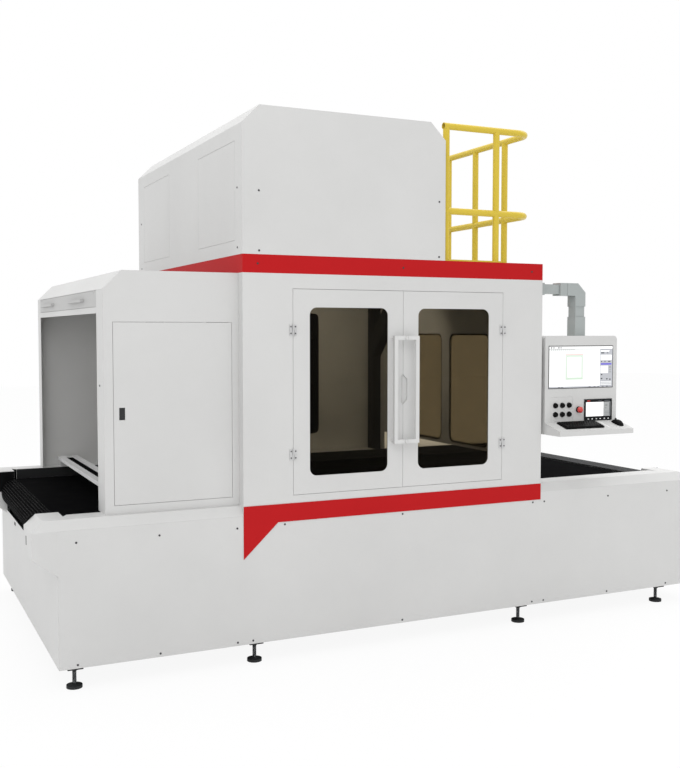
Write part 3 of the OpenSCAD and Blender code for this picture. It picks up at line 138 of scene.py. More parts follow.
class Finish(Nodes):
    """A material being built, kept in FINISHES."""

    def __init__(self, name):
        self.material = FINISHES[name] = bpy.data.materials.new(name)
        self.material.use_nodes = True
        super().__init__(self.material.node_tree, "ShaderNodeOutputMaterial")
        self.place = self.node("ShaderNodeTexCoord").outputs["Object"]

    def stretched(self, scale):
        """The object's coordinates, stretched by scale along X, Y and Z."""
        return self.node("ShaderNodeMapping", {"Vector": self.place, "Scale": scale}).outputs[0]

    def noise(self, scale, detail=2.0, rough=0.5, place=None):
        return self.node("ShaderNodeTexNoise", {
            "Vector": place or self.place, "Scale": scale, "Detail": detail, "Roughness": rough,
        }).outputs["Fac"]

    def spread(self, value, low, high, new_low=0.0, new_high=1.0):
        """value, with low..high stretched to new_low..new_high."""
        return self.node("ShaderNodeMapRange", {
            "Value": value, "From Min": low, "From Max": high, "To Min": new_low, "To Max": new_high,
        }).outputs["Result"]

    def mix(self, share, first, second):
        """Colour that is first where share is 0, second where it is 1."""
        return self.node("ShaderNodeMix", {0: share, 6: first, 7: second}, data_type="RGBA").outputs[2]

    def rounded(self, radius):
        """Normal with the edges rounded by radius."""
        return self.node("ShaderNodeBevel", {"Radius": radius}, samples=4).outputs[0]

    def edges(self, round_normal):
        """1 along the edges that round_normal rounds, 0 on flat faces."""
        flat = self.node("ShaderNodeNewGeometry").outputs["True Normal"]
        turn = self.node("ShaderNodeVectorMath", {0: round_normal, 1: flat}, operation="DOT_PRODUCT")
        return self.spread(turn.outputs["Value"], 0.995, 0.85)

    def bump(self, height, distance, strength=1.0, normal=None):
        inputs = {"Height": height, "Distance": distance, "Strength": strength}
        if normal is not None:
            inputs["Normal"] = normal
        return self.node("ShaderNodeBump", inputs).outputs[0]

    def shade(self, **inputs):
        """Ends the material with a Principled shader; underscores in the names stand for spaces."""
        named = {name.replace("_", " "): value for name, value in inputs.items()}
        self.end(self.node("ShaderNodeBsdfPrincipled", named).outputs[0])


# ---------------------------------------------------------------- finishes


def srgb(red, green, blue):
    """A colour written as display values from 0 to 255, as the linear one that shaders take."""
    def linear(value):
        share = value / 255
        return share / 12.92 if share <= 0.04045 else ((share + 0.055) / 1.055) ** 2.4

    return (linear(red), linear(green), linear(blue), 1.0)


def scaled(colour, factor):
    return tuple(min(1.0, c * factor) for c in colour[:3]) + (1.0,)


def paint(name, colour, rough=0.42, mottle=0.025, grain=0.00004, worn=None, coat=0.0, gloss=0.3):
    """Powder coat or lacquer: a faint cloudy tone, orange peel, round edges where the coat thins."""
    f = Finish(name)
    cloud = f.spread(f.noise(1.7, 4.0, 0.6), 0.3, 0.7)
    tone = f.mix(cloud, scaled(colour, 1 - mottle), scaled(colour, 1 + mottle))
    dust = f.spread(f.noise(38.0, 5.0, 0.7), 0.55, 0.8, 0.0, 0.35)
    tone = f.mix(dust, tone, scaled(colour, 1 - 2 * mottle))
    round_normal = f.rounded(1.5 * MM)
    rubbed = f.spread(f.noise(60.0, 4.0, 0.7), 0.35, 0.65, 0.15, 0.8)
    rim = f.math("MULTIPLY", f.edges(round_normal), rubbed)
    tone = f.mix(rim, tone, worn or scaled(colour, 1.12))
    peel = f.noise(520.0, 2.0)
    sheet = f.noise(2.3, 1.0)
    normal = f.bump(sheet, 0.0015, 0.25, f.bump(peel, grain, 0.6, round_normal))
    f.shade(
        Base_Color=tone, Roughness=f.spread(peel, 0.3, 0.7, rough - 0.06, rough + 0.06),
        Normal=normal, Coat_Weight=coat, Coat_Roughness=0.12, Specular_IOR_Level=gloss,
    )


def metal(name, colour, rough, along, grooves=0.00003, metallic=1.0):
    """Brushed or turned metal: fine lines that run across the stretched directions."""
    f = Finish(name)
    lines = f.noise(1.0, 4.0, 0.65, f.stretched(along))
    tone = f.mix(f.spread(lines, 0.25, 0.75), scaled(colour, 0.82), scaled(colour, 1.08))
    tone = f.mix(f.spread(f.noise(14.0, 4.0), 0.45, 0.8, 0.0, 0.5), tone, scaled(colour, 0.75))
    round_normal = f.rounded(0.8 * MM)
    tone = f.mix(f.edges(round_normal), tone, scaled(colour, 1.25))
    f.shade(
        Base_Color=tone, Metallic=metallic, Roughness=f.spread(lines, 0.3, 0.7, rough - 0.08, rough + 0.1),
        Normal=f.bump(lines, grooves, 0.5, round_normal),
    )


def rubber(name, colour, rough=0.62, cell=260.0, edge=1 * MM, gloss=0.25):
    """Rubber or moulded plastic: fine pebbled grain, rubbed lighter on its edges."""
    f = Finish(name)
    cells = f.node("ShaderNodeTexVoronoi", {"Vector": f.place, "Scale": cell}).outputs["Distance"]
    cloud = f.spread(f.noise(9.0, 4.0, 0.6), 0.3, 0.75)
    tone = f.mix(cloud, scaled(colour, 0.8), scaled(colour, 1.35))
    round_normal = f.rounded(edge)
    rubbed = f.spread(f.noise(90.0, 3.0), 0.35, 0.7, 0.2, 0.7)
    rim = f.math("MULTIPLY", f.edges(round_normal), rubbed)
    tone = f.mix(rim, tone, scaled(colour, 2.6))
    f.shade(
        Base_Color=tone, Roughness=f.spread(cloud, 0.0, 1.0, rough - 0.08, rough + 0.08),
        Normal=f.bump(cells, 0.00008, 0.5, round_normal), Specular_IOR_Level=gloss,
    )


def belt(name, colour, rough):
    """Conveyor belt: a woven black face with fine cross ribs, and grey on the slat edges as a painted
    highlight.
    """
    pitch = 12 * MM
    f = Finish(name)
    wave = f.node("ShaderNodeTexWave", {
        "Vector": f.place, "Scale": 1 / pitch / 2, "Distortion": 0.15, "Detail": 1.0,
    }, bands_direction="X").outputs["Fac"]
    weave = f.noise(1.0, 3.0, 0.6, f.stretched((900.0, 120.0, 900.0)))
    dust = f.spread(f.noise(5.0, 5.0, 0.65), 0.4, 0.75)
    tone = f.mix(dust, colour, scaled(colour, 1.6))
    tone = f.mix(f.spread(wave, 0.75, 1.0, 0.0, 0.5), tone, scaled(colour, 1.6))
    round_normal = f.rounded(1.8 * MM)
    # Painted highlight: the slat edges are turned grey so they look lit where they round over.
    tone = f.mix(f.edges(round_normal), tone, srgb(110, 110, 110))
    normal = f.bump(wave, 0.0002, 0.35, f.bump(weave, 0.0001, 0.4, round_normal))
    f.shade(
        Base_Color=tone, Roughness=f.spread(dust, 0.0, 1.0, rough, rough + 0.15),
        Normal=normal, Specular_IOR_Level=0.005,
    )


def smooth_plastic(name, colour, rough, coat):
    """Glossy moulded plastic with faint smudges."""
    f = Finish(name)
    smudge = f.spread(f.noise(24.0, 5.0, 0.7), 0.4, 0.75)
    tone = f.mix(smudge, colour, scaled(colour, 1.25))
    round_normal = f.rounded(1.2 * MM)
    tone = f.mix(f.edges(round_normal), tone, scaled(colour, 1.5))
    f.shade(
        Base_Color=tone, Roughness=f.spread(smudge, 0.0, 1.0, rough - 0.08, rough + 0.1),
        Normal=f.bump(f.noise(700.0), 0.00002, 0.4, round_normal),
        Coat_Weight=coat, Coat_Roughness=0.1,
    )


def pane(name, tint):
    """Tinted glass pane: what is behind shows through its colour, with the room mirrored in it."""
    f = Finish(name)
    smear = f.spread(f.noise(3.0, 5.0, 0.65), 0.35, 0.75)
    seen = f.node("ShaderNodeBsdfTransparent", {"Color": f.mix(smear, tint, scaled(tint, 0.93))})
    mirror = f.node("ShaderNodeBsdfPrincipled", {
        "Base Color": (0.02, 0.016, 0.01, 1.0), "Roughness": f.spread(smear, 0.0, 1.0, 0.04, 0.09),
        "Normal": f.bump(f.noise(1.6, 1.0), 0.001, 0.1),
    })
    facing = f.node("ShaderNodeLayerWeight", {"Blend": 0.5}).outputs["Facing"]
    mirrored = f.spread(f.math("POWER", facing, 5.0), 0.0, 1.0, 0.04, 1.0)
    f.end(f.blend(mirrored, seen.outputs[0], mirror.outputs[0]))


def lit(name, colour, strength):
    """A lit field of a display, with the faint unevenness of its backlight."""
    f = Finish(name)
    glow = f.mix(f.spread(f.noise(6.0, 2.0), 0.3, 0.7), scaled(colour, 0.96), colour)
    f.shade(
        Base_Color=scaled(colour, 0.3), Roughness=0.25, Emission_Color=glow, Emission_Strength=strength,
        Normal=f.bump(f.noise(900.0), 0.00001, 0.3),
    )


GREY = srgb(210, 210, 209)

paint("body_paint", GREY)
paint("rail_paint", GREY, rough=0.4)
paint("console_paint", srgb(208, 208, 207), rough=0.45)
paint("arm_paint", srgb(166, 172, 171), rough=0.35, coat=0.2)
paint("handle_paint", srgb(214, 214, 213), rough=0.36)
# The inlet flap's grey is the body's grey darkened: painted shade for the recess the flap sits in.
paint("flap_shaded_paint", srgb(186, 186, 185))
paint("red_paint", srgb(186, 34, 37), rough=0.38, worn=srgb(200, 74, 74), gloss=0.02)
paint("yellow_paint", srgb(212, 186, 58), rough=0.38, worn=srgb(236, 214, 120), coat=0.15)
paint("frame_paint", srgb(44, 45, 46), rough=0.55, mottle=0.08, worn=srgb(86, 86, 86))
paint("table_paint", srgb(34, 35, 36), rough=0.5, mottle=0.08, worn=srgb(96, 96, 96))
paint("motor_paint", srgb(70, 104, 138), rough=0.4, mottle=0.06, worn=srgb(150, 160, 170))
paint("module_paint", srgb(98, 104, 110), mottle=0.05)
paint("bearing_iron", srgb(82, 90, 96), rough=0.5, mottle=0.1, grain=0.0002)
# Near white, for the sheet on the tray: painted light on the tray's top.
paint("tray_highlight_white", srgb(252, 252, 251), rough=0.4)
belt("belt_black", srgb(8, 8, 9), rough=0.75)
metal("roller_steel", srgb(190, 192, 194), 0.34, (900.0, 8.0, 900.0))
metal("hinge_steel", srgb(214, 214, 214), 0.42, (14.0, 14.0, 700.0))
metal("screw_steel", srgb(84, 84, 86), 0.4, (600.0, 600.0, 600.0))
# Near white: partly the beam's own pale aluminium, partly painted light for its top, which lies in shade
# inside the hood.
metal("beam_aluminium", srgb(238, 238, 238), 0.5, (900.0, 6.0, 900.0), metallic=0.1)
metal("block_aluminium", srgb(206, 207, 208), 0.36, (700.0, 20.0, 20.0))
metal("mirror_glass", srgb(232, 214, 160), 0.12, (4.0, 4.0, 4.0), grooves=0.000002)
pane("tinted_glass", (0.578, 0.535, 0.45, 1.0))
smooth_plastic("screen_black", srgb(32, 34, 36), rough=0.3, coat=0.25)
smooth_plastic("red_plastic", srgb(206, 46, 40), rough=0.3, coat=0.5)
rubber("foot_black", srgb(38, 40, 41))
rubber("black_plastic", srgb(7, 7, 8), rough=0.5, cell=600.0, gloss=0.1)
rubber("panel_plastic", srgb(26, 27, 29), rough=0.45, gloss=0.1)
rubber("latch_plastic", srgb(44, 45, 46), rough=0.5)
rubber("slot_rubber", srgb(5, 5, 6), edge=0.1 * MM, gloss=0.02)
rubber("mat_rubber", srgb(46, 47, 48), rough=0.65)

# Nodes whose finish differs from the one that the CAD model names; the flap's darker grey is painted shade
OWN_FINISH = {"inlet_flap": "flap_shaded_paint", "hmi_panel": "panel_plastic", "hood_latch": "latch_plastic"}

for node_name, cad_node in frame["nodes"].items():
    for holder in cad_node.material_slots:
        cad_finish = holder.material.name.split(".")[0]
        holder.material = FINISHES[OWN_FINISH.get(node_name, cad_finish)]

# ---------------------------------------------------------------- mesh helpers


def piece(name, body, mesh, slot, finishes=None, smooth=False):
    """An object made of a bmesh, riding on a body. Its finish has the slot's name, or finishes names
    one for each material index of its faces."""
    bmesh.ops.remove_doubles(mesh, verts=mesh.verts, dist=1e-7)
    bmesh.ops.recalc_face_normals(mesh, faces=mesh.faces)
    data = bpy.data.meshes.new(name)
    mesh.to_mesh(data)
    mesh.free()
    for finish in finishes or [slot]:
        data.materials.append(FINISHES[finish])
    data.polygons.foreach_set("use_smooth", [smooth] * len(data.polygons))
    made = bpy.data.objects.new(name, data)
    bpy.context.scene.collection.objects.link(made)
    if smooth:
        data.set_sharp_from_angle(angle=SHARP)
    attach(made, body)
    return made


def frame_at(origin, direction):
    """Matrix whose Z axis points along direction, with its origin there."""
    return Matrix.Translation(origin) @ Vector(direction).to_track_quat("Z", "Y").to_matrix().to_4x4()


def front_place(x, y, z):
    """Place with X to the right, Y up and Z towards the front."""
    return Matrix.Translation((x, y, z)) @ Matrix.Rotation(math.radians(90), 4, "X")


def left_place(x, y, z):
    """Place with X towards the front, Y up and Z to the left."""
    turn = Matrix.Rotation(math.radians(-90), 4, "Z") @ Matrix.Rotation(math.radians(90), 4, "X")
    return Matrix.Translation((x, y, z)) @ turn


def walls(mesh, low, high):
    """Faces between two rings of vertices. A ring of one vertex is a tip."""
    around = max(len(low), len(high))
    made = []
    for i in range(around):
        j = (i + 1) % around
        corners = [low[i % len(low)], low[j % len(low)], high[j % len(high)], high[i % len(high)]]
        made.append(mesh.faces.new(list(dict.fromkeys(corners))))
    return made


def prism(mesh, bottom, top, finish=0):
    """Closed solid between two outlines with as many points each."""
    low = [mesh.verts.new(point) for point in bottom]
    high = [mesh.verts.new(point) for point in top]
    for face in [mesh.faces.new(low[::-1]), mesh.faces.new(high)] + walls(mesh, low, high):
        face.material_index = finish


def slab(mesh, place, size, radius=0.0, finish=0):
    """Plate from the origin of place along +X, +Y and +Z, with its corners in X and Y rounded."""
    width, height, depth = size
    steps = 5
    outline = [(0, 0), (width, 0), (width, height), (0, height)]
    if radius:
        outline = []
        for x, y, start in ((width - radius, radius, -90), (width - radius, height - radius, 0),
                            (radius, height - radius, 90), (radius, radius, 180)):
            for i in range(steps + 1):
                angle = math.radians(start + 90 * i / steps)
                outline.append((x + radius * math.cos(angle), y + radius * math.sin(angle)))
    bottom, top = ([place @ Vector((x, y, z)) for x, y in outline] for z in (0, depth))
    prism(mesh, bottom, top, finish)


def lathe(mesh, place, profile, segments=24):
    """Turns profile, points of (radius, height), round the Z axis of place. A point with a true third
    value makes a hexagon, whose corners lie on that radius."""
    rings = []
    for point in profile:
        radius, height, hexagon = (*point, False)[:3]
        if radius == 0:
            rings.append([mesh.verts.new(place @ Vector((0, 0, height)))])
            continue
        ring = []
        for i in range(segments):
            angle = 2 * math.pi * i / segments
            corner = (angle + math.pi / 6) % (math.pi / 3) - math.pi / 6
            r = radius / math.cos(corner) * math.cos(math.pi / 6) if hexagon else radius
            ring.append(mesh.verts.new(place @ Vector((r * math.cos(angle), r * math.sin(angle), height))))
        rings.append(ring)
    for low, high in zip(rings, rings[1:]):
        walls(mesh, low, high)


def in_mm(*points):
    """Profile for lathe from points in millimetres."""
    return [(radius * MM, height * MM, *hexagon) for radius, height, *hexagon in points]


# ---------------------------------------------------------------- fasteners


def socket_screw(mesh, place, radius, height):
    """Domed head on a washer, with a hexagon socket."""
    lathe(mesh, place, [
        (0, height * 0.35), (radius * 0.42, height * 0.35, True), (radius * 0.42, height * 0.9, True),
        (radius * 0.5, height), (radius * 0.72, height * 0.94), (radius * 0.86, height * 0.62),
        (radius * 0.88, height * 0.3), (radius, height * 0.26), (radius, 0), (0, 0),
    ], segments=18)


def cover_screw_heads():
    """Domed heads with sockets in place of the CAD model's plain ones."""
    mesh = bmesh.new()
    middle = (cad_box[0] + cad_box[1]) / 2
    for low, high in islands("cover_screws"):
        size, centre = high - low, (low + high) / 2
        axis = min(range(3), key=lambda i: size[i])
        away = Vector((0, 0, 0))
        away[axis] = 1 if axis == 1 and centre.y > middle.y else -1
        base = centre - away * size[axis] / 2
        socket_screw(mesh, frame_at(base, away), max(size) / 2, size[axis])
    made = piece("cover_screw_heads", "base", mesh, "screw_steel", smooth=True)
    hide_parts("cover_screws")


def jamb_screw():
    """Screw head on the hood's left face, beside the mouth."""
    from_front, from_top = 101 * MM, 631 * MM
    head_r, head_h = 7 * MM, 3 * MM
    low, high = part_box("hood_shell")
    mesh = bmesh.new()
    socket_screw(mesh, frame_at((low.x, low.y + from_front, high.z - from_top), LEFT), head_r, head_h)
    piece("jamb_screw", "base", mesh, "screw_steel", smooth=True)


def hinge_screws(name, body, node, side_of_pin):
    """Countersunk screws in a node's hinge leaves. side_of_pin gives 1 or -1 for each leaf's box: the
    side of the pin, along X, that the leaf lies on."""
    from_edge, from_end, leaf_face = 9 * MM, 12 * MM, 6 * MM
    profile = in_mm((0, 0.1), (1.7, 0.1, True), (1.7, 0.9, True),
                    (4.2, 1.1), (4.6, 0.2), (4.6, -1), (0, -1))
    mesh = bmesh.new()
    for low, high in islands(node):
        x = high.x - from_edge if side_of_pin(low, high) > 0 else low.x + from_edge
        for z in (low.z + from_end, high.z - from_end):
            lathe(mesh, frame_at((x, low.y + leaf_face, z), FRONT), profile, segments=18)
    piece(name, body, mesh, "screw_steel", smooth=True)


def door_hinge_screws():
    """Screws in the leaves on the cabin and on both doors."""
    left_pin = next(joint["pos_m"][0] for joint in frame["joints"] if joint["name"] == "left_door_hinge")
    hinge_screws("frame_hinge_screws", "base", "frame_hinge_leaves",
                 lambda low, high: -1 if high.x < 0 and (low.x + high.x) / 2 < left_pin else 1)
    hinge_screws("left_hinge_screws", "left_door", "left_door_hinges", lambda low, high: 1)
    hinge_screws("right_hinge_screws", "right_door", "right_door_hinges", lambda low, high: -1)


# ---------------------------------------------------------------- console: displays

UI_TONES = {  # display values and strength of a lit field's colours
    "white": ((255, 255, 255), 1.0),
    "paper": ((246, 248, 247), 0.95),
    "grey": ((196, 198, 204), 0.7),
    "shade": ((168, 170, 171), 0.75),
    "haze": ((222, 232, 222), 0.85),
    "line": ((150, 154, 154), 0.6),
    "dark": ((70, 74, 78), 0.7),
    "blue": ((112, 104, 214), 0.8),
    "green": ((196, 226, 196), 0.8),
    "pink": ((240, 200, 196), 0.8),
    "red": ((214, 60, 52), 0.8),
}
UI_NAMES = list(UI_TONES)

for tone_name, (tone_colour, tone_strength) in UI_TONES.items():
    lit("ui_" + tone_name, srgb(*tone_colour), tone_strength)


class Display:
    """Flat fields on the front of a node, whose glass starts rim inside its sides and sunk behind its
    front. Places are shares of the glass's width and height, from its lower left corner."""

    gap = 0.1 * MM       # between the glass and the first layer
    layer_t = 0.15 * MM

    def __init__(self, node, rim=0.0, sunk=0.0):
        low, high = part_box(node)
        self.corner = (low.x + rim, low.y + sunk - self.gap, low.z + rim)
        self.width, self.height = high.x - low.x - 2 * rim, high.z - low.z - 2 * rim
        self.mesh = bmesh.new()

    def field(self, u0, v0, u1, v1, colour, layer=1, radius=0.0):
        x, y, z = self.corner
        place = front_place(x + u0 * self.width, y - (layer - 1) * self.layer_t, z + v0 * self.height)
        size = ((u1 - u0) * self.width, (v1 - v0) * self.height, self.layer_t)
        slab(self.mesh, place, size, radius, UI_NAMES.index(colour))

    def outline(self, u0, v0, u1, v1, colour, line, layer=2):
        """Four thin bars round a rectangle."""
        tall = line * self.width / self.height
        self.field(u0, v1 - tall, u1, v1, colour, layer)
        self.field(u0, v0, u1, v0 + tall, colour, layer)
        self.field(u0, v0 + tall, u0 + line, v1 - tall, colour, layer)
        self.field(u1 - line, v0 + tall, u1, v1 - tall, colour, layer)

    def done(self, name):
        piece(name, "console", self.mesh, "screen_black", ["ui_" + tone for tone in UI_NAMES])


def monitor_picture():
    """A drawing program: menu row, canvas with a frame on it, and a column of settings."""
    d = Display("monitor", rim=5 * MM)
    d.field(0, 0, 1, 1, "paper")
    # Menu and tool rows
    d.field(0, 0.94, 1, 1, "white", 2)
    d.field(0, 0.93, 1, 0.94, "line", 2)
    for i, u in enumerate((0.02, 0.05, 0.075, 0.13, 0.155, 0.18)):
        d.field(u, 0.955, u + (0.015 if i % 3 else 0.02), 0.985, "dark", 3)
    for i in range(12):
        d.field(0.02 + i * 0.032, 0.905, 0.036 + i * 0.032, 0.925, "line", 2)
    # Canvas
    d.outline(0.25, 0.19, 0.53, 0.80, "haze", 0.022)
    d.outline(0.272, 0.235, 0.508, 0.765, "green", 0.006, 3)
    d.field(0.252, 0.795, 0.528, 0.812, "pink", 3)
    d.field(0.262, 0.21, 0.518, 0.225, "green", 3)
    # Column of settings
    d.field(0.80, 0.02, 1, 0.93, "grey", 2)
    d.field(0.81, 0.87, 0.95, 0.90, "white", 3)
    d.field(0.815, 0.825, 0.865, 0.85, "dark", 3)
    d.field(0.91, 0.828, 0.925, 0.848, "dark", 3)
    d.field(0.81, 0.66, 0.985, 0.79, "white", 3)
    for u in (0.815, 0.87, 0.93, 0.95):
        d.field(u, 0.615, u + 0.018, 0.638, "dark", 3)
    d.field(0.81, 0.545, 0.985, 0.585, "blue", 3)
    d.field(0.81, 0.34, 0.93, 0.52, "white", 3)
    for v in (0.36, 0.41, 0.46, 0.495):
        d.field(0.945, v, 0.98, v + 0.014, "line", 3)
    for u, v in ((0.815, 0.29), (0.815, 0.19), (0.90, 0.18), (0.95, 0.17)):
        d.field(u, v, u + 0.024, v + 0.03, "dark", 3, 0.5 * MM)
    for i in range(3):
        d.field(0.81, 0.05 + i * 0.035, 0.985, 0.065 + i * 0.035, "paper", 3)
    # Status row
    d.field(0, 0, 1, 0.03, "grey", 3)
    for u in (0.14, 0.185, 0.62, 0.70, 0.76, 0.83, 0.90):
        d.field(u, 0.008, u + 0.03, 0.022, "dark", 4)
    d.done("monitor_picture")


def hmi_picture():
    """Operating panel's face: white field, grey column with plain signs, and a row of marks above."""
    d = Display("hmi_panel", sunk=1.5 * MM)
    d.field(0.05, 0.20, 0.69, 0.86, "white")
    d.field(0.70, 0.20, 0.94, 0.86, "shade")
    d.field(0.09, 0.90, 0.20, 0.94, "red")
    d.field(0.50, 0.90, 0.62, 0.93, "dark")
    d.field(0.72, 0.89, 0.92, 0.94, "dark")
    d.field(0.75, 0.66, 0.83, 0.74, "line", 2, 1 * MM)
    d.field(0.75, 0.55, 0.80, 0.60, "line", 2)
    for v in (0.26, 0.33, 0.40):
        d.field(0.73, v, 0.91, v + 0.03, "line", 2)
    d.field(0.90, 0.23, 0.925, 0.83, "dark", 2)
    d.done("hmi_picture")


def hmi_key_signs():
    """Plain signs on the six keys under the operating panel's picture: a ring with a dot, then a bar."""
    first, pitch, height = 30 * MM, 34 * MM, 12 * MM
    thick = 0.2 * MM
    bar_w, bar_h = 10 * MM, 5 * MM
    low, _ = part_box("hmi_panel")
    mesh = bmesh.new()
    for i in range(6):
        place = frame_at((low.x + first + i * pitch, low.y, low.z + height), FRONT)
        if i % 2:
            corner = Matrix.Translation((-bar_w / 2, -bar_h / 2, 0))
            slab(mesh, place @ corner, (bar_w, bar_h, thick), 1 * MM)
        else:
            lathe(mesh, place, in_mm((0, 0), (3.6, 0), (3.6, 0.2), (1.8, 0.2), (1.8, 0)))
            dot = place @ Matrix.Translation((6 * MM, 0, 0))
            lathe(mesh, dot, in_mm((0, 0), (1.5, 0), (1.5, 0.2), (0, 0.2)), segments=12)
    # The signs take the display's lit paper finish, so they glow though they are printed: painted light.
    piece("hmi_key_signs", "console", mesh, "screen_black", ["ui_paper"])


# ---------------------------------------------------------------- console: buttons and tray


def collar(name, node, y, profile):
    """Turned ring that stands at y round a button. profile has millimetres, its radii counted from
    the button's own."""
    low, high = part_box(node)
    centre = ((low.x + high.x) / 2, y, (low.z + high.z) / 2)
    radius = (high.x - low.x) / 2
    mesh = bmesh.new()
    lathe(mesh, frame_at(centre, FRONT), [(radius + r, z) for r, z in in_mm(*profile)], segments=32)
    piece(name, "console", mesh, "black_plastic", smooth=True)


def button_trim():
    """A ring round each of the six buttons, and the collar of the emergency stop."""
    face_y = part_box("monitor")[0].y + 1 * MM
    for i in range(1, 7):
        collar(f"button_ring_{i}", f"button_{i}", face_y + 1.5 * MM, [
            (0.6, 0), (3.2, 0), (3.2, 3), (2.6, 4), (1.2, 4.4), (0.6, 3.8), (0.6, 0),
        ])
    collar("stop_collar", "emergency_stop", face_y, [
        (-8, 0), (1, 0), (1, 2), (-2, 2.5), (-3, 7), (-8, 7.4), (-8, 0),
    ])


TRAY_FALL = 46 * MM
TRAY_REACH = 165 * MM
KEYBOARD = (312 * MM, 112 * MM, 16 * MM)
MOUSE = (62 * MM, 104 * MM, 34 * MM)


def tray_place(node, size):
    """Place at the lower left front corner of a thing of that size that lies on the sloping tray."""
    low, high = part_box(node)
    turn = Matrix.Rotation(math.atan2(TRAY_FALL, TRAY_REACH), 4, "X")
    return Matrix.Translation((low + high) / 2) @ turn @ Matrix.Translation([-s / 2 for s in size])


def tray_highlight_sheet():
    """White sheet on the tray, under the keyboard and the mouse: painted light, so that the tray's top
    looks lit brighter than the console's paint.
    """
    size, corner_r = (580 * MM, 160 * MM, 0.5 * MM), 12 * MM
    from_keyboard = Matrix.Translation((-68 * MM, -28 * MM, -0.2 * MM))
    mesh = bmesh.new()
    slab(mesh, tray_place("keyboard", KEYBOARD) @ from_keyboard, size, corner_r)
    piece("tray_highlight_sheet", "console", mesh, "console_paint", ["tray_highlight_white"])


def key(mesh, place, width, depth):
    """One bevelled key cap, a little higher at its back."""
    bevel, front_h, back_h = 1.4 * MM, 4 * MM, 4.4 * MM
    base = [(0, 0, 0), (width, 0, 0), (width, depth, 0), (0, depth, 0)]
    top = [(bevel, bevel, front_h), (width - bevel, bevel, front_h),
           (width - bevel, depth - bevel, back_h), (bevel, depth - bevel, back_h)]
    prism(mesh, [place @ Vector(p) for p in base], [place @ Vector(p) for p in top])


def keyboard_keys():
    """Keyboard with a rounded case and bevelled keys."""
    case_h, case_r = 10 * MM, 5 * MM
    step_t, step_in, step_r = 1.6 * MM, 2 * MM, 4 * MM
    pitch, key_gap, key_depth = 20 * MM, 2 * MM, 17 * MM
    first_x, first_y = 6 * MM, 88 * MM
    width, depth, _ = KEYBOARD
    place = tray_place("keyboard", KEYBOARD)
    mesh = bmesh.new()
    slab(mesh, place, (width, depth, case_h), case_r)
    slab(mesh, place @ Matrix.Translation((step_in, step_in, case_h)),
         (width - 2 * step_in, depth - 2 * step_in, step_t), step_r)
    rows = [[1] * 15, [1.5] + [1] * 12 + [1.5], [1.8] + [1] * 11 + [2.2], [2.3] + [1] * 10 + [2.7],
            [1.3, 1.3, 1.3, 6.2, 1.3, 1.3, 1.3, 1]]
    for row, widths in enumerate(rows):
        x = first_x
        for key_w in widths:
            corner = Matrix.Translation((x + key_gap / 2, first_y - row * pitch, case_h + step_t))
            key(mesh, place @ corner, key_w * pitch - key_gap, key_depth)
            x += key_w * pitch
    made = piece("keyboard_keys", "console", mesh, "black_plastic")
    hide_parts("keyboard")


def mouse_shell():
    """Smooth mouse, a little narrower at its waist, with a hump and a wheel."""
    around, up = 40, 12
    dome, square_x, square_y = 0.62, 0.8, 0.9  # exponents: the smaller, the fuller
    waist_in, hump, hump_y, hump_turn = 0.07, 0.18, 0.42, 1.3
    width_share, height_share = 0.93, 0.97
    size = Vector(MOUSE)
    place = tray_place("mouse", size)
    mesh = bmesh.new()
    rings = []
    for k in range(up + 1):
        rise = math.sin(math.pi / 2 * k / up)
        spread = math.cos(math.pi / 2 * k / up) ** dome
        ring = []
        for i in range(around):
            angle = 2 * math.pi * i / around
            c, s = math.cos(angle), math.sin(angle)
            waist = 1 - waist_in * math.cos(2 * angle) * (1 - rise)
            x = 0.5 + 0.5 * math.copysign(abs(c) ** square_x, c) * spread * waist * width_share
            y = 0.5 + 0.5 * math.copysign(abs(s) ** square_y, s) * spread
            back = 1 - hump + hump * math.cos(math.pi * (y - hump_y) * hump_turn)
            z = rise * back * height_share
            ring.append(mesh.verts.new(place @ Vector((x * size.x, y * size.y, z * size.z))))
        rings.append(ring)
    for low, high in zip(rings, rings[1:]):
        walls(mesh, low, high)
    mesh.faces.new(rings[0][::-1])
    bmesh.ops.remove_doubles(mesh, verts=rings[-1], dist=1e-5)
    wheel = Matrix.Translation((size.x / 2 - 4 * MM, size.y * 0.74, size.z * 0.86))
    lathe(mesh, place @ wheel @ Matrix.Rotation(math.radians(90), 4, "Y"),
          in_mm((0, 0), (6, 0), (7, 1), (7, 7), (6, 8), (0, 8)))
    made = piece("mouse_shell", "console", mesh, "black_plastic", smooth=True)
    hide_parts("mouse")


# ---------------------------------------------------------------- feet, heads and belt


def foot_threads():
    """Thread ridges on the studs of the levelling feet."""
    pitch, root, crest, buried = 3 * MM, 10.3 * MM, 11.3 * MM, 8.8 * MM
    pad_h, plate_t = 26 * MM, 14 * MM
    mesh = bmesh.new()
    for low, high in islands("levelling_feet"):
        centre = (low + high) / 2
        bottom = low.z + pad_h
        turns = int((high.z - plate_t - bottom) / pitch)
        profile = [(buried, bottom)]
        for i in range(turns):
            z = bottom + i * pitch
            profile += [(root, z + 0.2 * pitch), (crest, z + 0.5 * pitch), (root, z + 0.8 * pitch)]
        profile.append((buried, bottom + turns * pitch))
        lathe(mesh, Matrix.Translation((centre.x, centre.y, 0)), profile)
    piece("foot_threads", "base", mesh, "roller_steel", smooth=True)


def slot_insert(mesh, x, y_front, z, width, height):
    """Rubber insert with a lip, in a slot of a left-hand face at x, from the slot's front lower corner."""
    lip, thick, depth = 3 * MM, 0.6 * MM, 1.4 * MM
    place = left_place(x + depth, y_front + width, z)
    slab(mesh, place, (width, height, thick))
    for corner, size in (((0, 0), (lip, height)), ((width - lip, 0), (lip, height)),
                         ((lip, 0), (width - 2 * lip, lip)), ((lip, height - lip), (width - 2 * lip, lip))):
        slab(mesh, place @ Matrix.Translation((*corner, thick)), (*size, thick))


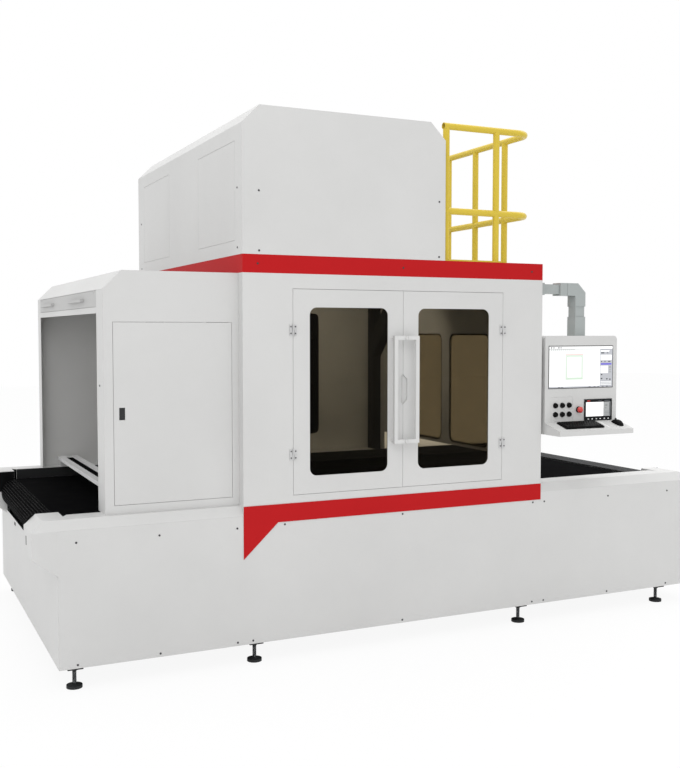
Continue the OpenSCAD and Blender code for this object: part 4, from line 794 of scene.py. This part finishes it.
def slot_inserts():
    """Inserts in the cable slots of both left heads and of the left end cover."""
    head_slot, head_inset, head_drop = (25 * MM, 50 * MM), 187 * MM, 150 * MM
    end_slot, end_inset, end_drop = (62 * MM, 23 * MM), 736 * MM, 40 * MM
    front_low, front_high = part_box("front_left_rail")
    rear_low, rear_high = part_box("rear_left_rail")
    cover_low, cover_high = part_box("end_cover_left")
    z = front_high.z - head_drop
    mesh = bmesh.new()
    slot_insert(mesh, front_low.x, front_low.y + head_inset, z, *head_slot)
    slot_insert(mesh, rear_low.x, rear_high.y - head_inset - head_slot[0], z, *head_slot)
    slot_insert(mesh, cover_low.x, cover_high.y - end_inset, cover_high.z - end_drop, *end_slot)
    piece("slot_inserts", "base", mesh, "black_plastic", ["slot_rubber"])


def discharge_mat():
    """Dark ribbed mat on the plate beyond the belt's right end, with a lip over the plate's edge."""
    rim, thick, lip, corner_r = 8 * MM, 1.2 * MM, 3 * MM, 2 * MM
    pitch, groove, rib_in, rib_h = 20 * MM, 10 * MM, 4 * MM, 0.8 * MM
    low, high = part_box("end_cover_right")
    place = Matrix.Translation((low.x, low.y + rim, high.z))
    width, length = high.x - rim - low.x, high.y - low.y - 2 * rim
    mesh = bmesh.new()
    slab(mesh, place, (width, length, thick), corner_r)
    for i in range(int(width / pitch)):
        rib = place @ Matrix.Translation((groove / 2 + i * pitch, rib_in, thick))
        slab(mesh, rib, (pitch - groove, length - 2 * rib_in, rib_h))
    slab(mesh, place @ Matrix.Translation((-thick, 0, -lip)), (thick, length, lip + thick))
    piece("discharge_mat", "base", mesh, "black_plastic", ["mat_rubber"])


RAILS = ("front_left_rail", "rear_left_rail", "front_right_rail", "rear_right_rail")


def rail_ways(node):
    """Signs of the ways along X and Y that lead from a rail's outer corner into the machine."""
    return (1 if "left" in node else -1), (1 if "front" in node else -1)


def belt_skirts():
    """Black rubber skirts on the heads' inner faces, beside the belt's edges."""
    start, end, tip, drop, thick = 8 * MM, 184 * MM, 24 * MM, 140 * MM, 3 * MM
    gap, below_top = 0.4 * MM, 3 * MM
    outline = [(start, -120 * MM), (start + tip, -drop), (end, -drop), (end, 0), (start + tip, 0),
               (start, -42 * MM)]
    mesh = bmesh.new()
    for node in RAILS:
        low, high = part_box(node)
        x_way, y_way = rail_ways(node)
        outer = low.x if x_way > 0 else high.x
        inner = high.y if y_way > 0 else low.y
        sides = [[(outer + x_way * x, y, high.z - below_top + z) for x, z in outline]
                 for y in (inner + y_way * gap, inner + y_way * (gap + thick))]
        prism(mesh, *sides)
    piece("belt_skirts", "base", mesh, "black_plastic")


def notch_shade_strips():
    """Black strips that close the rails' notches beside the heads, up to the table's guides: painted shade
    that makes the notches look dark.
    """
    start, stop = (187 * MM, 137 * MM), (212 * MM, 187 * MM)
    thick, bottom, top = 2 * MM, 104 * MM, 3 * MM
    outline = [start, stop, (stop[0] - thick, stop[1]), (start[0] - thick / 2, start[1])]
    mesh = bmesh.new()
    for node in RAILS:
        low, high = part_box(node)
        x_way, y_way = rail_ways(node)
        x0 = low.x if x_way > 0 else high.x
        y0 = low.y if y_way > 0 else high.y
        levels = [[(x0 + x_way * x, y0 + y_way * y, high.z - below) for x, y in outline]
                  for below in (bottom, top)]
        prism(mesh, *levels)
    piece("notch_shade_strips", "base", mesh, "black_plastic")


# ---------------------------------------------------------------- hood and cabin


def beam_seal():
    """Black strip in the slot of the infeed beam."""
    side_share, end, drop = 0.31, 60 * MM, 14 * MM
    thick, corner_r = 6 * MM, 3 * MM
    low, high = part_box("infeed_beam")
    width, length, _ = high - low
    side = width * side_share
    mesh = bmesh.new()
    place = Matrix.Translation((low.x + side, low.y + end, high.z - drop))
    slab(mesh, place, (width - 2 * side, length - 2 * end, thick), corner_r)
    piece("beam_seal", "base", mesh, "black_plastic", ["belt_black"])


def rear_pane_shade_sheets():
    """Dark sheets on the inside of the panes of the rear service panel: painted shade that keeps the view
    through them dark.
    """
    rim, thick, corner_r = 2 * MM, 1 * MM, 40 * MM
    mesh = bmesh.new()
    for low, high in islands("wall_windows"):
        width, depth, height = high - low
        if width > depth:  # a rear pane, not one of the right wall's
            place = front_place(low.x + rim, low.y - thick, low.z + rim)
            slab(mesh, place, (width - 2 * rim, height - 2 * rim, thick), corner_r)
    piece("rear_pane_shade_sheets", "base", mesh, "black_plastic")


cover_screw_heads()
door_hinge_screws()
monitor_picture()
hmi_picture()
hmi_key_signs()
button_trim()
tray_highlight_sheet()
keyboard_keys()
mouse_shell()
foot_threads()
slot_inserts()
discharge_mat()
belt_skirts()
notch_shade_strips()
beam_seal()
rear_pane_shade_sheets()
jamb_screw()

# ---------------------------------------------------------------- room, light and camera

WHITE = (1.0, 1.0, 1.0, 1.0)


def white_to_rays(nodes, shader, white, share):
    """Mixes white over shader for what the camera sees, directly, mirrored or through glass."""
    rays = nodes.node("ShaderNodeLightPath").outputs
    mirrored = nodes.math("MAXIMUM", rays["Is Glossy Ray"], rays["Is Transmission Ray"])
    seen = nodes.math("MAXIMUM", rays["Is Camera Ray"], mirrored)
    return nodes.blend(nodes.math("MULTIPLY", seen, share), shader, white)


def make_world(strength):
    """White room that lights the object with strength and looks plain white."""
    world = bpy.data.worlds.new("room")
    bpy.context.scene.world = world
    world.use_nodes = True
    nodes = Nodes(world.node_tree, "ShaderNodeOutputWorld")
    light = nodes.node("ShaderNodeBackground", {"Color": WHITE, "Strength": strength})
    white = nodes.node("ShaderNodeBackground", {"Color": WHITE, "Strength": 1.0})
    nodes.end(white_to_rays(nodes, light.outputs[0], white.outputs[0], 1.0))


def make_floor(size, share):
    """Pale floor. share is how white it looks, and the rest shows the object's shadow."""
    half = size / 2
    corners = [(-half, -half, 0), (half, -half, 0), (half, half, 0), (-half, half, 0)]
    mesh = bpy.data.meshes.new("floor")
    mesh.from_pydata(corners, [], [(0, 1, 2, 3)])
    floor = bpy.data.objects.new("floor", mesh)
    bpy.context.scene.collection.objects.link(floor)
    material = bpy.data.materials.new("floor")
    material.use_nodes = True
    nodes = Nodes(material.node_tree, "ShaderNodeOutputMaterial")
    matt = nodes.node("ShaderNodeBsdfDiffuse", {"Color": (0.95, 0.95, 0.95, 1)})
    white = nodes.node("ShaderNodeEmission", {"Color": WHITE, "Strength": 1.0})
    nodes.end(white_to_rays(nodes, matt.outputs[0], white.outputs[0], share))
    mesh.materials.append(material)


def area_light(name, location, target, size, power):
    data = bpy.data.lights.new(name, "AREA")
    data.shape = "DISK"
    data.size = size
    data.energy = power
    light = bpy.data.objects.new(name, data)
    light.location = location
    light.rotation_euler = (Vector(target) - Vector(location)).to_track_quat("-Z", "Y").to_euler()
    bpy.context.scene.collection.objects.link(light)


def make_lights():
    """Two large soft lamps over the object, a lamp inside the cabin, and one over the right end."""
    area_light("key", (-3.5, -5.5, 7.5), (0, 0, 1.5), 5.0, 108)
    area_light("top", (1.0, 1.5, 8.5), (0, 0, 1.0), 6.0, 230)
    low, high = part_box("cabin_shell")
    middle = (low + high) / 2
    beside, below = 0.3, 0.2
    area_light("cabin_light", (middle.x + beside, middle.y, high.z - below),
               (middle.x + beside, high.y, middle.z - below), 0.6, 7.5)
    area_light("right", (3.5, -1.0, 5.0), (2.0, -1.0, 0.9), 2.5, 25)


def make_camera():
    """Camera at the photograph's viewing angle, as solved from the machine's straight edges."""
    data = bpy.data.cameras.new("camera")
    data.lens = 46.94
    data.sensor_width = 36
    camera = bpy.data.objects.new("camera", data)
    camera.location = (-3.028, -6.468, 1.918)
    camera.rotation_euler = [math.radians(a) for a in (87.014, 0, -25.331)]
    bpy.context.scene.collection.objects.link(camera)
    bpy.context.scene.camera = camera


make_world(0.875)
make_floor(60, 0.92)
make_lights()
make_camera()
bpy.context.scene.view_settings.view_transform = "Standard"
